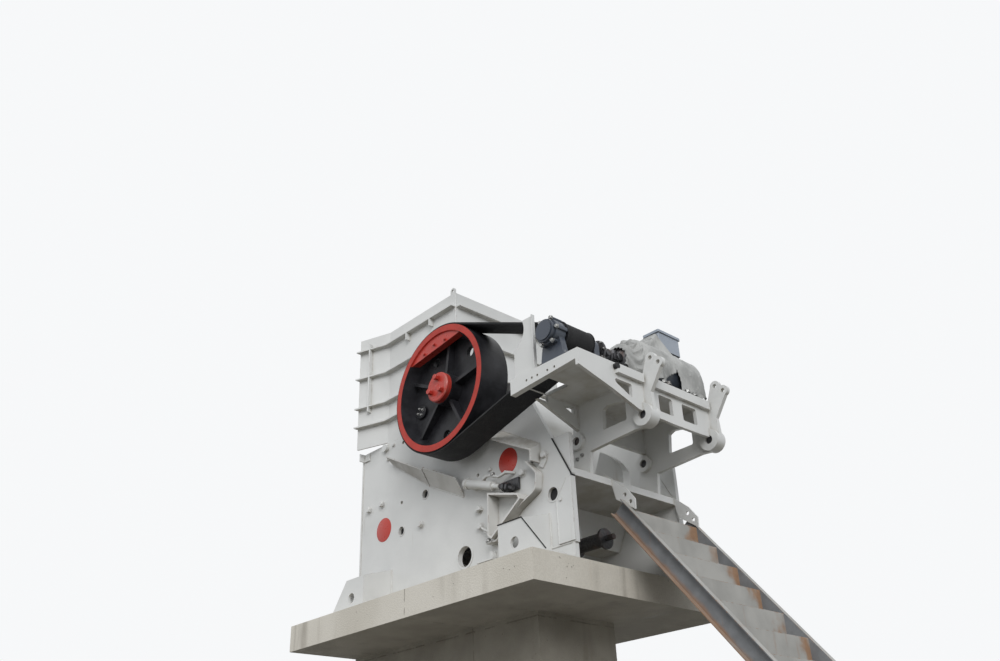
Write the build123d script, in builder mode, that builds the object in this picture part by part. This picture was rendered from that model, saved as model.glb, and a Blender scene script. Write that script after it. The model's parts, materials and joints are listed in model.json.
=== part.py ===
"""Jaw crusher on its concrete plinth, with its motor bracket, belt drive and access stair.

Frame: +X from the feed end to the discharge end, +Y from the sheave side to the flywheel side,
+Z up. The origin lies on the ground, on the centre plane of the crusher.
"""
import os
from math import asin, atan2, cos, radians, sin, tan

from build123d import *

# Fits and clearances
seat_gap = 0.3
shaft_fit = 0.08
belt_gap = 0.8
running_gap = 20
side_clearance = 60

# Concrete plinth
slab_top = 4000
slab_thickness = 300
slab_half_width = 1550
slab_front_x = -2260
slab_rear_x = 1940
wall_thickness = 250
wall_half_width = 596
wall_rear_x = 1016
floor_thickness = 250
discharge_front_x = -1500
discharge_rear_x = -500
discharge_half_width = 330
soffit = slab_top - slab_thickness

# Frame side plates
frame_half_width = 900
plate_thickness = 60
plate_front_x = -1800
plate_rear_x = 1906
plate_clearance = 170
plate_top = 6210
slope_foot = 4874
slope_run_per_rise = 0.522
frame_inner = frame_half_width - plate_thickness
frame_middle_x = (plate_front_x + plate_rear_x) / 2
plate_bottom = slab_top + plate_clearance

# Round openings in each side plate: centre x and z, then the radii
lifting_hole = (233, 4393)
rod_hole = (1636, 4727)
upper_pin_hole = (-474, 5312)
lower_pin_hole = (-937, 4973)
tapped_holes = [(-928, 6123), (-941, 5333), (484, 5269)]
lifting_hole_radius = 115
rod_hole_radius = 70
pin_hole_radius = 52
tapped_hole_radius = 22
ledge_boss = (-1279, 6150)
ledge_boss_radius = 50
ledge_boss_height = 45

# Feet of the frame
foot_reach = slab_half_width - 210
foot_plate = 30
foot_rear_start_x = 1222
foot_base_length = 666
foot_top_length = 350
foot_web_height = 420
foot_gusset_rise = 120
foot_web_setback = 30
foot_hole_radius = 58
foot_hole_height = 195
foot_hole_offset = 238

# Rotor: eccentric shaft, sheave and flywheel
rotor_x = 437
rotor_z = plate_top + 25
journal_radius = 130
eccentric_radius = 160
throw = 18
housing_radius = 290
housing_reach = 130
cover_radius = 235
cover_thickness = 45
wheel_radius = 765
wheel_overhang = 550
wheel_width = 400
rim_thickness = 75
rim_root_thickness = 125
web_thickness = 50
web_depth = 190
web_dish = 30
hub_radius = 190
hub_depth = 65
window_radius = 60
window_circle = 525
window_count = 5
first_window_angle = 46
first_rib_angle = 10
rib_thickness = 40
rib_rim_height = 70
rib_hub_height = 110
cap_radius = 180
cap_thickness = 70
cap_chamfer = 12
weight_chord = 520
weight_thickness = 90
weight_inset = 20
weight_angle = 97
housing_outer_y = frame_half_width + housing_reach
wheel_front_y = frame_half_width + wheel_overhang
wheel_back_y = wheel_front_y - wheel_width
hub_front_y = wheel_front_y - hub_depth
hub_back_y = housing_outer_y + cover_thickness + running_gap

# Crushing chamber: front wall with its ribs, dies and cheek plates
front_wall_thickness = 90
front_wall_x = -1570
front_wall_top = plate_top - 60
front_wall_bottom = plate_bottom + 60
front_rib_levels = [60, 640, 1240, 1860]
front_rib_setback = 50
front_rib_thickness = 50
die_thickness = 90
tooth_depth = 45
tooth_count = 12
die_top = plate_top - 90
die_bottom = plate_bottom + 120
swing_die_lift = 40
cheek_thickness = 45
cheek_lift = 60
cheek_clearance = 5
cheek_low_setback = 140
cheek_top_setback = 180
die_half_width = frame_inner - cheek_thickness - side_clearance

# Swing jaw and its toggle plate
pitman_half_width = frame_inner - side_clearance
swing_top_x = -330
swing_bottom_x = -1060
pitman_top = plate_top - 30
barrel_radius = 285
barrel_clearance = 6
barrel_angle = -40
toggle_thickness = 70
toggle_half_width = pitman_half_width - 180
toggle_front = (-395, 4560)
toggle_rear = (700, 4720)

# Rear frame: beam with a sloped saddle, a middle rib and wings beyond the side plates
saddle_front_x = 1180
saddle_slope = 27
beam_edge_rise = 71
beam_edge_drop = 4
beam_nose_length = 180
beam_seat_height = 260
beam_seat_depth = 180
beam_underside_length = 300
beam_heel_length = 460
wing_thickness = 50
wing_top = 5330
wing_gap = 6
saddle_rib_half_width = 60
saddle_rib_front_x = 1500
saddle_rib_peak = (1602, 5394)
saddle_rib_shoulder = (1760, 5284)
saddle_rib_heel = (1893, 5096)
beam_edge_top = slope_foot + beam_edge_rise
beam_edge_bottom = slope_foot - beam_edge_drop

# Tension rod with its spring
rod_radius = 32
rod_y = 0
rod_z = 4440
rod_front_x = toggle_front[0]
rod_rear_x = 1640
spring_radius = 78
spring_front_x = 1080
spring_rear_x = 1500
disc_radius = 115
disc_thickness = 30
rod_lug_half_width = 110
rod_lug_thickness = 60
rod_lug_drop = 110
rod_lug_sink = 20

# Feed hopper
hopper_top = 7857
hopper_bottom = plate_top + 15
hopper_rear_x = 135
hopper_fold_x = -1250
hopper_front_x = -1715
hopper_plate = 20
hopper_seat_width = 60
flare_angle = 19.6
top_band_height = 212
low_rib_height = 290
hopper_rib_places = [0, 0.24, 0.63, 1]
hopper_rib_depth = 70
hopper_rib_thickness = 18
flare_bar_x = -1530
flare_bar_top_drop = 122
flare_bar_foot = 489
short_bar_places = [-811, -317]
short_bar_length = 100
bar_thickness = 20
eye_width = 90
eye_hole_radius = 22
eye_hole_height = 40

# Motor bracket
bracket_half_spacing = 555
bracket_plate = 50
pivot_setback = 141
pivot_rise = 461
deck_rise = 455
deck_thickness = 40
deck_front_offset = 20
deck_margin = 95
deck_far_y = 655
panel_thickness = 40
bracket_length = 897
lug_offset = 20
lug_drop = 3
pivot_boss_radius = 95
lug_boss_radius = 120
bracket_pin_radius = 47
boss_half_length = 70
foot_front_offset = 110
foot_rear_offset = 121
belly_front_offset = 149
belly_drop = 147
belly_rise = 38
belly_rear_offset = 150
ear_lobe_radius = 60
ear_front_hole = (149, 595)
ear_rear_hole = (242, 511)
ear_hole_radius = 25
ear_waist = (108, 228)
side_window = [(374, 252), (436, 278), (686, 245), (680, 32), (347, 24)]
window_corner_radius = 22
belt_slot_length = 345
belt_slot_clearance = 30
belt_notch_depth = 75
flange_thickness = 25
flange_front_depth = 175
flange_rear_depth = 110
flange_lip = 70
flange_hole_radius = 14
flange_hole_drop = 90
flange_hole_places = [237, 315, 394, 536, 634]
pivot_x = plate_rear_x - pivot_setback
pivot_z = slope_foot + pivot_rise
lug_x = pivot_x + bracket_length + lug_offset
lug_z = pivot_z - lug_drop
deck_top = pivot_z + deck_rise
deck_bottom = deck_top - deck_thickness
deck_front_x = pivot_x + deck_front_offset - panel_thickness
deck_near_y = -wheel_front_y - deck_margin
rear_panel_x = pivot_x + bracket_length
rear_face_x = rear_panel_x + panel_thickness

# Rear panel of the bracket: heights are measured from the pivots
panel_tip_height = 275
panel_knee = (-1070, 151)
panel_lug_y = -684
panel_lug_height = 30
panel_arc_drop = 20
panel_notch_drop = 35
tip_window = [(-1040, 278), (-762, 278), (-773, 127), (-998, 227)]
middle_windows = [(-229, 224), (172, 244)]
middle_window_height = 188
middle_window_rise = 195
stiffener_depth = 45
stiffener_height = 100
stiffener_rise = 330
stiffener_near_y = -1010
stiffener_clearance = 25

# Front panel of the bracket: the window is measured outwards from the near leg and up from the pivots
front_panel_tip_y = -1405
front_panel_rise = 117
front_panel_far_rise = 165
front_window = [(213, 353), (60, 385), (60, 295)]

# Drive: pulley shaft, bearings, cardan shaft and motor
drive_setback = 301
shaft_height = 294
pulley_radius = 130
drive_shaft_radius = 45
pillow_radius = 105
pillow_half_length = 40
pillow_foot_height = 30
pillow_foot_width = 315
inner_pillow_gap = 75
outer_bearing_gap = 15
outer_bearing_radius = 140
outer_bearing_length = 135
outer_neck_radius = 122
outer_neck_length = 40
outer_cover_radius = 105
outer_cover_thickness = 15
outer_lug_count = 6
outer_lug_size = 45
pedestal_half_width = 100
pedestal_foot_height = 35
pedestal_foot_half_width = 150
coupling_radius = 105
coupling_start = 90
coupling_length = 60
coupling_taper = 40
motor_coupling_radius = 150
motor_coupling_length = 60
motor_coupling_gap = 40
tube_radius = 62
stub_radius = 40
motor_radius = 270
motor_near_y = -420
motor_far_y = 600
motor_end_length = 90
motor_end_inset = 45
motor_foot_height = 45
motor_foot_half_width = 235
motor_foot_length = 200
motor_pedestal_half_width = 150
box_centre_y = 285
box_offset = 29
box_width = 200
box_length = 370
box_height = 240
box_gap = 46
box_lip = 14
box_lip_height = 30
neck_size = 120
belt_thickness = 22
belt_margin = 12
drive_x = rear_panel_x - drive_setback
drive_z = deck_top + shaft_height
inner_pillow_y = -wheel_back_y + inner_pillow_gap
belt_near_y = wheel_front_y - belt_margin
belt_far_y = wheel_back_y + belt_margin

# Cover sheet over the motor
cover_gap = 12
cover_plate = 12
cover_near_reach = 55
cover_far_reach = 40
cover_side_reach = 30
cover_slit = 10

# Shield plate beside the belt
shield_thickness = 16
shield_inset = 40
shield_front_offset = 35
shield_width = 310
shield_height = 630
shield_cut_radius = 220
shield_cut_offset = 60
shield_cut_drop = 90
shield_flange = 40

# Ledges below the wheels, and the sloped roof plate above the adjuster
ledge_reach = wheel_back_y - frame_half_width - 25
ledge_plate = 20
front_ledge_start = (-1121, 5869)
front_ledge_end = (-386, 5385)
front_ledge_start_rise = 85
front_ledge_end_rise = 177
rear_ledge_start = (-376, 5377)
rear_ledge_end = (239, 5076)
rear_ledge_start_rise = 205
rear_ledge_end_rise = 195
roof_start = (861, 5685)
roof_end = (1493, 5316)
roof_reach = 150
roof_start_drop = 144
roof_end_drop = 100
roof_leg_drop = 110

# Wedge adjuster on each side plate
cylinder_start = (400, 5170)
cylinder_end = (860, 5010)
cylinder_radius = 52
cylinder_standoff = 100
cylinder_lug_width = 120
cylinder_lug_height = 60
cylinder_lug_centre = (500, 5130)
cap_ring_radius = 64
cap_ring_length = 40
adjuster_corners = [(790, 4945), (1262, 4815), (1300, 4745), (835, 4425), (775, 4470)]
adjuster_plate = 22
adjuster_depth = 150
strap_points = [(1357, 5144), (1505, 4982), (1475, 4806), (1100, 4640), (860, 4410), (690, 4420)]
strap_plate = 18
strap_depth = 100
strap_bend_radius = 70

# Access stair
stair_near_y = -340
stair_width = 1215
stair_angle = 51
stair_head_z = 4832
stair_head_offset = 20
stringer_depth = 190
stringer_flange = 70
stringer_plate = 9
stringer_head_run = 130
tread_plate = 8
riser_height = 270
nosing_drop = 15
hanger_thickness = 20
hanger_seat_length = 103
hanger_seat_rise = 39
hanger_shoulder = (181, 4797)
hanger_tip_top = (284, 4658)
hanger_tip_bottom = (278, 4545)
hanger_knee = (37, 4712)
hanger_hole_radius = 22
hanger_holes = [(160, 4730), (225, 4640)]
stair_head_x = plate_rear_x + stair_head_offset
stair_far_y = stair_near_y + stair_width


def save(part: Part, label: str) -> None:
    """Label a finished piece and write it as its own STEP file."""
    part.label = label
    export_step(part, f"parts/{label}.step")


def save_pair(part: Part, name: str) -> None:
    """Write a piece of the near side and its mirror image on the far side."""
    save(part, f"{name}_near")
    save(mirror(part, about=Plane.XZ), f"{name}_far")


def xz_plane(y: float) -> Plane:
    """Sketch plane parallel to XZ at the given y: local x is X, local y is Z, extrusion goes to -Y."""
    return Plane.XZ.offset(-y)


def yz_plane(x: float) -> Plane:
    """Sketch plane parallel to YZ at the given x: local x is Y, local y is Z."""
    return Plane.YZ.offset(x)


def slope_x(z: float) -> float:
    """X of the sloped rear edge of the side plates at height z."""
    return plate_rear_x - (z - slope_foot) * slope_run_per_rise


def saddle_z(x: float) -> float:
    """Height of the sloped saddle on top of the rear frame at x."""
    return beam_edge_top + (plate_rear_x - x) * tan(radians(saddle_slope))


def from_pivot(point: tuple) -> tuple:
    """Point of the motor bracket given by its run and rise from the pivot."""
    return (pivot_x + point[0], pivot_z + point[1])


def rim_point(centre: tuple, radius: float, angle: float) -> tuple:
    """Point on a circle round centre, at an angle in radians from +X."""
    return (centre[0] + radius * cos(angle), centre[1] + radius * sin(angle))


os.makedirs("parts", exist_ok=True)

# Plinth: a slab with a discharge opening, on two long walls and an end wall
with BuildPart() as plinth_slab:
    with BuildSketch(Plane.XY.offset(soffit)):
        with Locations(((slab_front_x + slab_rear_x) / 2, 0)):
            Rectangle(slab_rear_x - slab_front_x, 2 * slab_half_width)
        with Locations(((discharge_front_x + discharge_rear_x) / 2, 0)):
            Rectangle(discharge_rear_x - discharge_front_x, 2 * discharge_half_width, mode=Mode.SUBTRACT)
    extrude(amount=slab_thickness)
save(plinth_slab.part, "plinth_slab")

with BuildPart() as plinth_wall:
    with BuildSketch(Plane.XY):
        with Locations(((slab_front_x + wall_rear_x) / 2, wall_thickness / 2 - wall_half_width)):
            Rectangle(wall_rear_x - slab_front_x, wall_thickness)
    extrude(amount=soffit)
save_pair(plinth_wall.part, "plinth_wall")

with BuildPart() as plinth_end_wall:
    with BuildSketch(Plane.XY):
        with Locations((wall_rear_x - wall_thickness / 2, 0)):
            Rectangle(wall_thickness, 2 * (wall_half_width - wall_thickness))
    extrude(amount=soffit)
save(plinth_end_wall.part, "plinth_end_wall")

with BuildPart() as plinth_floor:
    with BuildSketch(Plane.XY):
        with Locations(((slab_front_x + wall_rear_x - wall_thickness) / 2, 0)):
            Rectangle(wall_rear_x - wall_thickness - slab_front_x, 2 * (wall_half_width - wall_thickness))
    extrude(amount=floor_thickness)
save(plinth_floor.part, "plinth_floor")

# Side plate: sloped rear edge, bearing seat, round openings and the boss at its front corner
with BuildPart() as side_plate:
    with BuildSketch(xz_plane(-frame_inner)):
        with BuildLine():
            Polyline(
                (plate_front_x, plate_bottom),
                (plate_rear_x, plate_bottom),
                (plate_rear_x, slope_foot),
                (slope_x(plate_top), plate_top),
                (plate_front_x, plate_top),
                close=True,
            )
        make_face()
        with Locations((rotor_x, rotor_z)):
            Circle(housing_radius + seat_gap, mode=Mode.SUBTRACT)
        with Locations(lifting_hole):
            Circle(lifting_hole_radius, mode=Mode.SUBTRACT)
        with Locations(rod_hole):
            Circle(rod_hole_radius, mode=Mode.SUBTRACT)
        with Locations(upper_pin_hole, lower_pin_hole):
            Circle(pin_hole_radius, mode=Mode.SUBTRACT)
        with Locations(*tapped_holes):
            Circle(tapped_hole_radius, mode=Mode.SUBTRACT)
    extrude(amount=plate_thickness)
    with BuildSketch(xz_plane(-frame_half_width)):
        with Locations(ledge_boss):
            Circle(ledge_boss_radius)
    extrude(amount=ledge_boss_height)
save_pair(side_plate.part, "side_plate")

# Frame feet: base plate, pad under the side plate, outer web with a round hole and a sloped end, and two
# end webs; the front foot is the rear foot turned about the middle of the frame
foot_rear_end_x = foot_rear_start_x + foot_base_length
foot_outer_y = foot_web_setback - foot_reach
foot_base_top = slab_top + foot_plate
with BuildPart() as frame_feet:
    with BuildSketch(Plane.XY.offset(slab_top)):
        with Locations(((foot_rear_start_x + foot_rear_end_x) / 2, -(foot_reach + frame_inner) / 2)):
            Rectangle(foot_base_length, foot_reach - frame_inner)
    extrude(amount=foot_plate)
    with BuildSketch(Plane.XY.offset(foot_base_top)):
        with Locations(((foot_rear_start_x + foot_rear_end_x) / 2, -(frame_half_width + frame_inner) / 2)):
            Rectangle(foot_base_length, plate_thickness)
    extrude(amount=plate_clearance - foot_plate)
    with BuildSketch(xz_plane(foot_outer_y + foot_plate)):
        with BuildLine():
            Polyline(
                (foot_rear_start_x, slab_top),
                (foot_rear_end_x, slab_top),
                (foot_rear_end_x, foot_base_top),
                (foot_rear_start_x + foot_top_length, slab_top + foot_web_height),
                (foot_rear_start_x, slab_top + foot_web_height),
                close=True,
            )
        make_face()
        with Locations((foot_rear_start_x + foot_hole_offset, slab_top + foot_hole_height)):
            Circle(foot_hole_radius, mode=Mode.SUBTRACT)
    extrude(amount=foot_plate)
    for web_x in (foot_rear_start_x, foot_rear_start_x + foot_top_length - foot_plate):
        with BuildSketch(yz_plane(web_x)):
            with BuildLine():
                Polyline(
                    (-frame_half_width, slab_top),
                    (foot_outer_y, slab_top),
                    (foot_outer_y, slab_top + foot_web_height),
                    (-frame_half_width, slab_top + foot_web_height + foot_gusset_rise),
                    close=True,
                )
            make_face()
        extrude(amount=foot_plate)
    mirror(about=yz_plane(frame_middle_x))
save_pair(frame_feet.part, "frame_feet")

# Front frame: wall behind the fixed die with transverse ribs on the feed side
front_rib_depth = front_wall_x - front_wall_thickness - plate_front_x - front_rib_setback
with BuildPart() as front_frame:
    with BuildSketch(xz_plane(frame_inner)):
        with Locations((front_wall_x - front_wall_thickness / 2, (front_wall_top + front_wall_bottom) / 2)):
            Rectangle(front_wall_thickness, front_wall_top - front_wall_bottom)
        for rib_rise in front_rib_levels:
            rib_middle_x = front_wall_x - front_wall_thickness - front_rib_depth / 2
            with Locations((rib_middle_x, front_wall_bottom + rib_rise)):
                Rectangle(front_rib_depth, front_rib_thickness)
    extrude(amount=2 * frame_inner)
save(front_frame.part, "front_frame")


def die_points(phase: float) -> list:
    """Corrugated cross-section of a jaw die: flat back at local x 0, teeth towards +x."""
    pitch = 2 * die_half_width / tooth_count
    points = [(0, -die_half_width), (0, die_half_width)]
    for tooth in range(2 * tooth_count, -1, -1):
        crest = (tooth + phase) % 2
        points.append((die_thickness + tooth_depth * crest, tooth * pitch / 2 - die_half_width))
    return points


# Fixed jaw die on the front wall
with BuildPart() as fixed_jaw_die:
    with BuildSketch(Plane((front_wall_x, 0, die_bottom))):
        with BuildLine():
            Polyline(*die_points(0), close=True)
        make_face()
    extrude(amount=die_top - die_bottom)
save(fixed_jaw_die.part, "fixed_jaw_die")

# Swing jaw die: the same section, on the inclined face of the swing jaw
swing_top = Vector(swing_top_x, 0, die_top)
swing_bottom = Vector(swing_bottom_x, 0, die_bottom + swing_die_lift)
swing_direction = (swing_top - swing_bottom).normalized()
swing_normal = Vector(-swing_direction.Z, 0, swing_direction.X)
with BuildPart() as swing_jaw_die:
    with BuildSketch(Plane(origin=swing_bottom, x_dir=swing_normal, z_dir=swing_direction)):
        with BuildLine():
            Polyline(*die_points(1), close=True)
        make_face()
    extrude(amount=(swing_top - swing_bottom).length)
save(swing_jaw_die.part, "swing_jaw_die")

# Swing jaw: barrel round the eccentric shaft, tapering body and toggle seat
barrel_bore = eccentric_radius + throw + barrel_clearance
body_top_x = swing_top_x + (pitman_top - die_top) * swing_direction.X / swing_direction.Z
with BuildPart() as swing_jaw:
    with BuildSketch(xz_plane(pitman_half_width)):
        with BuildLine():
            Polyline(
                (swing_bottom.X, swing_bottom.Z),
                (toggle_front[0], swing_bottom.Z),
                (toggle_front[0], toggle_front[1] + toggle_thickness),
                rim_point((rotor_x, rotor_z), barrel_radius, radians(barrel_angle)),
                (rotor_x, rotor_z),
                (rotor_x - barrel_radius, pitman_top),
                (body_top_x, pitman_top),
                close=True,
            )
        make_face()
        with Locations((rotor_x, rotor_z)):
            Circle(barrel_radius)
            Circle(barrel_bore, mode=Mode.SUBTRACT)
    extrude(amount=2 * pitman_half_width)
save(swing_jaw.part, "swing_jaw")

# Toggle plate between the swing jaw and the rear frame
with BuildPart() as toggle_plate:
    with BuildSketch(xz_plane(toggle_half_width)):
        with BuildLine():
            Polyline(
                (toggle_front[0], toggle_front[1] - toggle_thickness / 2),
                (toggle_rear[0], toggle_rear[1] - toggle_thickness / 2),
                (toggle_rear[0], toggle_rear[1] + toggle_thickness / 2),
                (toggle_front[0], toggle_front[1] + toggle_thickness / 2),
                close=True,
            )
        make_face()
    extrude(amount=2 * toggle_half_width)
save(toggle_plate.part, "toggle_plate")

# Cheek plates line the chamber between the dies
cheek_front_x = front_wall_x + die_thickness + tooth_depth + cheek_clearance
with BuildPart() as cheek_plate:
    with BuildSketch(xz_plane(cheek_thickness - frame_inner)):
        with BuildLine():
            Polyline(
                (cheek_front_x, die_bottom + cheek_lift),
                (swing_bottom_x - cheek_low_setback, die_bottom + cheek_lift),
                (swing_top_x - cheek_top_setback, die_top),
                (cheek_front_x, die_top),
                close=True,
            )
        make_face()
    extrude(amount=cheek_thickness)
save_pair(cheek_plate.part, "cheek_plate")

# Rear frame: closed transverse beam with the toggle seat and the sloped saddle, a curved rib on the
# saddle, a wing beyond each side plate and the lug that holds the tension rod
seat_bottom = toggle_rear[1] - beam_seat_depth
rod_lug_x = spring_front_x - rod_lug_thickness
with BuildPart() as rear_frame:
    with BuildSketch(xz_plane(frame_inner)):
        with BuildLine():
            Polyline(
                (plate_rear_x, beam_edge_bottom),
                (plate_rear_x, beam_edge_top),
                (saddle_front_x, saddle_z(saddle_front_x)),
                (toggle_rear[0] + beam_nose_length, saddle_z(saddle_front_x)),
                (toggle_rear[0], toggle_rear[1] + beam_seat_height),
                (toggle_rear[0], seat_bottom),
                (toggle_rear[0] + beam_underside_length, seat_bottom),
                (toggle_rear[0] + beam_heel_length, beam_edge_bottom),
                close=True,
            )
        make_face()
    extrude(amount=2 * frame_inner)
    with BuildSketch(xz_plane(saddle_rib_half_width)):
        with BuildLine():
            Polyline(
                saddle_rib_peak,
                (saddle_rib_front_x, saddle_z(saddle_rib_front_x)),
                (saddle_rib_heel[0], saddle_z(saddle_rib_heel[0])),
                saddle_rib_heel,
            )
            ThreePointArc(saddle_rib_heel, saddle_rib_shoulder, saddle_rib_peak)
        make_face()
    extrude(amount=2 * saddle_rib_half_width)
    for side in (-1, 1):
        with BuildSketch(xz_plane(side * (frame_inner + wing_thickness / 2) + wing_thickness / 2)):
            with BuildLine():
                Polyline(
                    (plate_rear_x, slope_foot + wing_gap / slope_run_per_rise),
                    (plate_rear_x, wing_top),
                    (slope_x(wing_top) + wing_gap, wing_top),
                    close=True,
                )
            make_face()
        extrude(amount=wing_thickness)
    with BuildSketch(xz_plane(rod_y + rod_lug_half_width)):
        with BuildLine():
            Polyline(
                (rod_lug_x, rod_z - rod_lug_drop),
                (spring_front_x, rod_z - rod_lug_drop),
                (spring_front_x, beam_edge_bottom - rod_lug_sink),
                (rod_lug_x, beam_edge_bottom - rod_lug_sink),
                close=True,
            )
        make_face()
    extrude(amount=2 * rod_lug_half_width)
    with BuildSketch(yz_plane(rod_lug_x)):
        with Locations((rod_y, rod_z)):
            Circle(rod_radius + shaft_fit)
    extrude(amount=rod_lug_thickness, mode=Mode.SUBTRACT)
save(rear_frame.part, "rear_frame")

# Tension rod with its spring between two discs
with BuildPart() as tension_rod:
    with BuildSketch(yz_plane(rod_front_x)):
        with Locations((rod_y, rod_z)):
            Circle(rod_radius)
    extrude(amount=rod_rear_x - rod_front_x)
    for disc_x in (spring_front_x, spring_rear_x):
        with BuildSketch(yz_plane(disc_x)):
            with Locations((rod_y, rod_z)):
                Circle(disc_radius)
        extrude(amount=disc_thickness)
    with BuildSketch(yz_plane(spring_front_x + disc_thickness)):
        with Locations((rod_y, rod_z)):
            Circle(spring_radius)
    extrude(amount=spring_rear_x - spring_front_x - disc_thickness)
save(tension_rod.part, "tension_rod")

# Bearing housing: barrel in the seat of the side plate, with an end cover
with BuildPart() as bearing_housing:
    with BuildSketch(xz_plane(-frame_inner)):
        with Locations((rotor_x, rotor_z)):
            Circle(housing_radius)
            Circle(journal_radius + shaft_fit, mode=Mode.SUBTRACT)
    extrude(amount=housing_outer_y - frame_inner)
    with BuildSketch(xz_plane(-housing_outer_y)):
        with Locations((rotor_x, rotor_z)):
            Circle(cover_radius)
            Circle(journal_radius + shaft_fit, mode=Mode.SUBTRACT)
    extrude(amount=cover_thickness)
save_pair(bearing_housing.part, "bearing_housing")

# Feed hopper: ribbed side walls that flare towards the feed end, and a rear wall
flare_run = hopper_fold_x - hopper_front_x
flare_y = tan(radians(flare_angle)) * flare_run
lowest_rib_z = hopper_bottom + low_rib_height
rib_span = hopper_top - top_band_height - lowest_rib_z
hopper_rib_levels = [lowest_rib_z + place * rib_span for place in hopper_rib_places]


def hopper_outline(offset_out: float, depth: float) -> list:
    """Plan outline of a strip that follows the side wall, from offset_out outwards by depth."""
    inner = frame_half_width + offset_out
    outer = inner + depth
    return [
        (hopper_rear_x, -inner),
        (hopper_fold_x, -inner),
        (hopper_front_x, -inner - flare_y),
        (hopper_front_x, -outer - flare_y),
        (hopper_fold_x, -outer),
        (hopper_rear_x, -outer),
    ]


eye_middle_x = hopper_rear_x - eye_width / 2
flare_bar_y = -frame_half_width - tan(radians(flare_angle)) * (hopper_fold_x - flare_bar_x)
with BuildPart() as hopper_side:
    with BuildSketch(Plane.XY.offset(hopper_bottom)):
        with BuildLine():
            Polyline(*hopper_outline(-hopper_plate, hopper_plate), close=True)
        make_face()
    extrude(amount=hopper_top - hopper_bottom)
    for rib_z in hopper_rib_levels:
        with BuildSketch(Plane.XY.offset(rib_z)):
            with BuildLine():
                Polyline(*hopper_outline(0, hopper_rib_depth), close=True)
            make_face()
        extrude(amount=hopper_rib_thickness)
    with BuildSketch(Plane.XY.offset(hopper_bottom + flare_bar_foot)):
        with Locations(Location((flare_bar_x, flare_bar_y, 0), (0, 0, flare_angle))):
            Rectangle(bar_thickness, hopper_rib_depth, align=(Align.CENTER, Align.MAX))
    extrude(amount=hopper_top - flare_bar_top_drop - hopper_bottom - flare_bar_foot)
    with BuildSketch(Plane.XY.offset(hopper_rib_levels[-1] - short_bar_length)):
        for bar_x in short_bar_places:
            with Locations((bar_x, -frame_half_width)):
                Rectangle(bar_thickness, hopper_rib_depth, align=(Align.CENTER, Align.MAX))
    extrude(amount=short_bar_length)
    with BuildSketch(Plane.XY.offset(plate_top)):
        with Locations(((hopper_rear_x + hopper_fold_x) / 2, (hopper_seat_width / 2) - frame_half_width)):
            Rectangle(hopper_rear_x - hopper_fold_x, hopper_seat_width)
    extrude(amount=hopper_bottom - plate_top)
    with BuildSketch(xz_plane(hopper_plate - frame_half_width)):
        with Locations((eye_middle_x, hopper_top)):
            Rectangle(eye_width, 2 * eye_hole_height)
        with Locations((eye_middle_x, hopper_top + eye_hole_height)):
            Circle(eye_width / 2)
            Circle(eye_hole_radius, mode=Mode.SUBTRACT)
    extrude(amount=hopper_plate)
save_pair(hopper_side.part, "hopper_side")

with BuildPart() as hopper_rear_wall:
    with BuildSketch(Plane.XY.offset(hopper_bottom)):
        with Locations((hopper_rear_x - hopper_plate / 2, 0)):
            Rectangle(hopper_plate, 2 * (frame_half_width - hopper_plate))
    extrude(amount=hopper_top - hopper_bottom)
    for rib_z in hopper_rib_levels:
        with BuildSketch(Plane.XY.offset(rib_z)):
            with Locations((hopper_rear_x + hopper_rib_depth / 2, 0)):
                Rectangle(hopper_rib_depth, 2 * (frame_half_width - hopper_plate))
        extrude(amount=hopper_rib_thickness)
save(hopper_rear_wall.part, "hopper_rear_wall")

# Hanger plates over the rear edge of the beam, beside the webs of the stair stringers
hanger_seat_x = plate_rear_x - hanger_seat_length


def from_beam(point: tuple) -> tuple:
    """Point of a hanger plate given by its run from the rear face of the beam and its height."""
    return (plate_rear_x + point[0], point[1])


hanger_near_y = stair_near_y + stringer_flange
hanger_far_y = stair_far_y - stringer_flange
with BuildPart() as stair_hangers:
    for hanger_back_y in (hanger_near_y + hanger_thickness, hanger_far_y):
        with BuildSketch(xz_plane(hanger_back_y)):
            with BuildLine():
                Polyline(
                    (hanger_seat_x, saddle_z(hanger_seat_x)),
                    (plate_rear_x, beam_edge_top),
                    (plate_rear_x, beam_edge_bottom),
                    from_beam(hanger_knee),
                    from_beam(hanger_tip_bottom),
                    from_beam(hanger_tip_top),
                    from_beam(hanger_shoulder),
                    (hanger_seat_x, saddle_z(hanger_seat_x) + hanger_seat_rise),
                    close=True,
                )
            make_face()
            with Locations(*[from_beam(hole) for hole in hanger_holes]):
                Circle(hanger_hole_radius, mode=Mode.SUBTRACT)
        extrude(amount=hanger_thickness)
save(stair_hangers.part, "stair_hangers")

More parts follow.
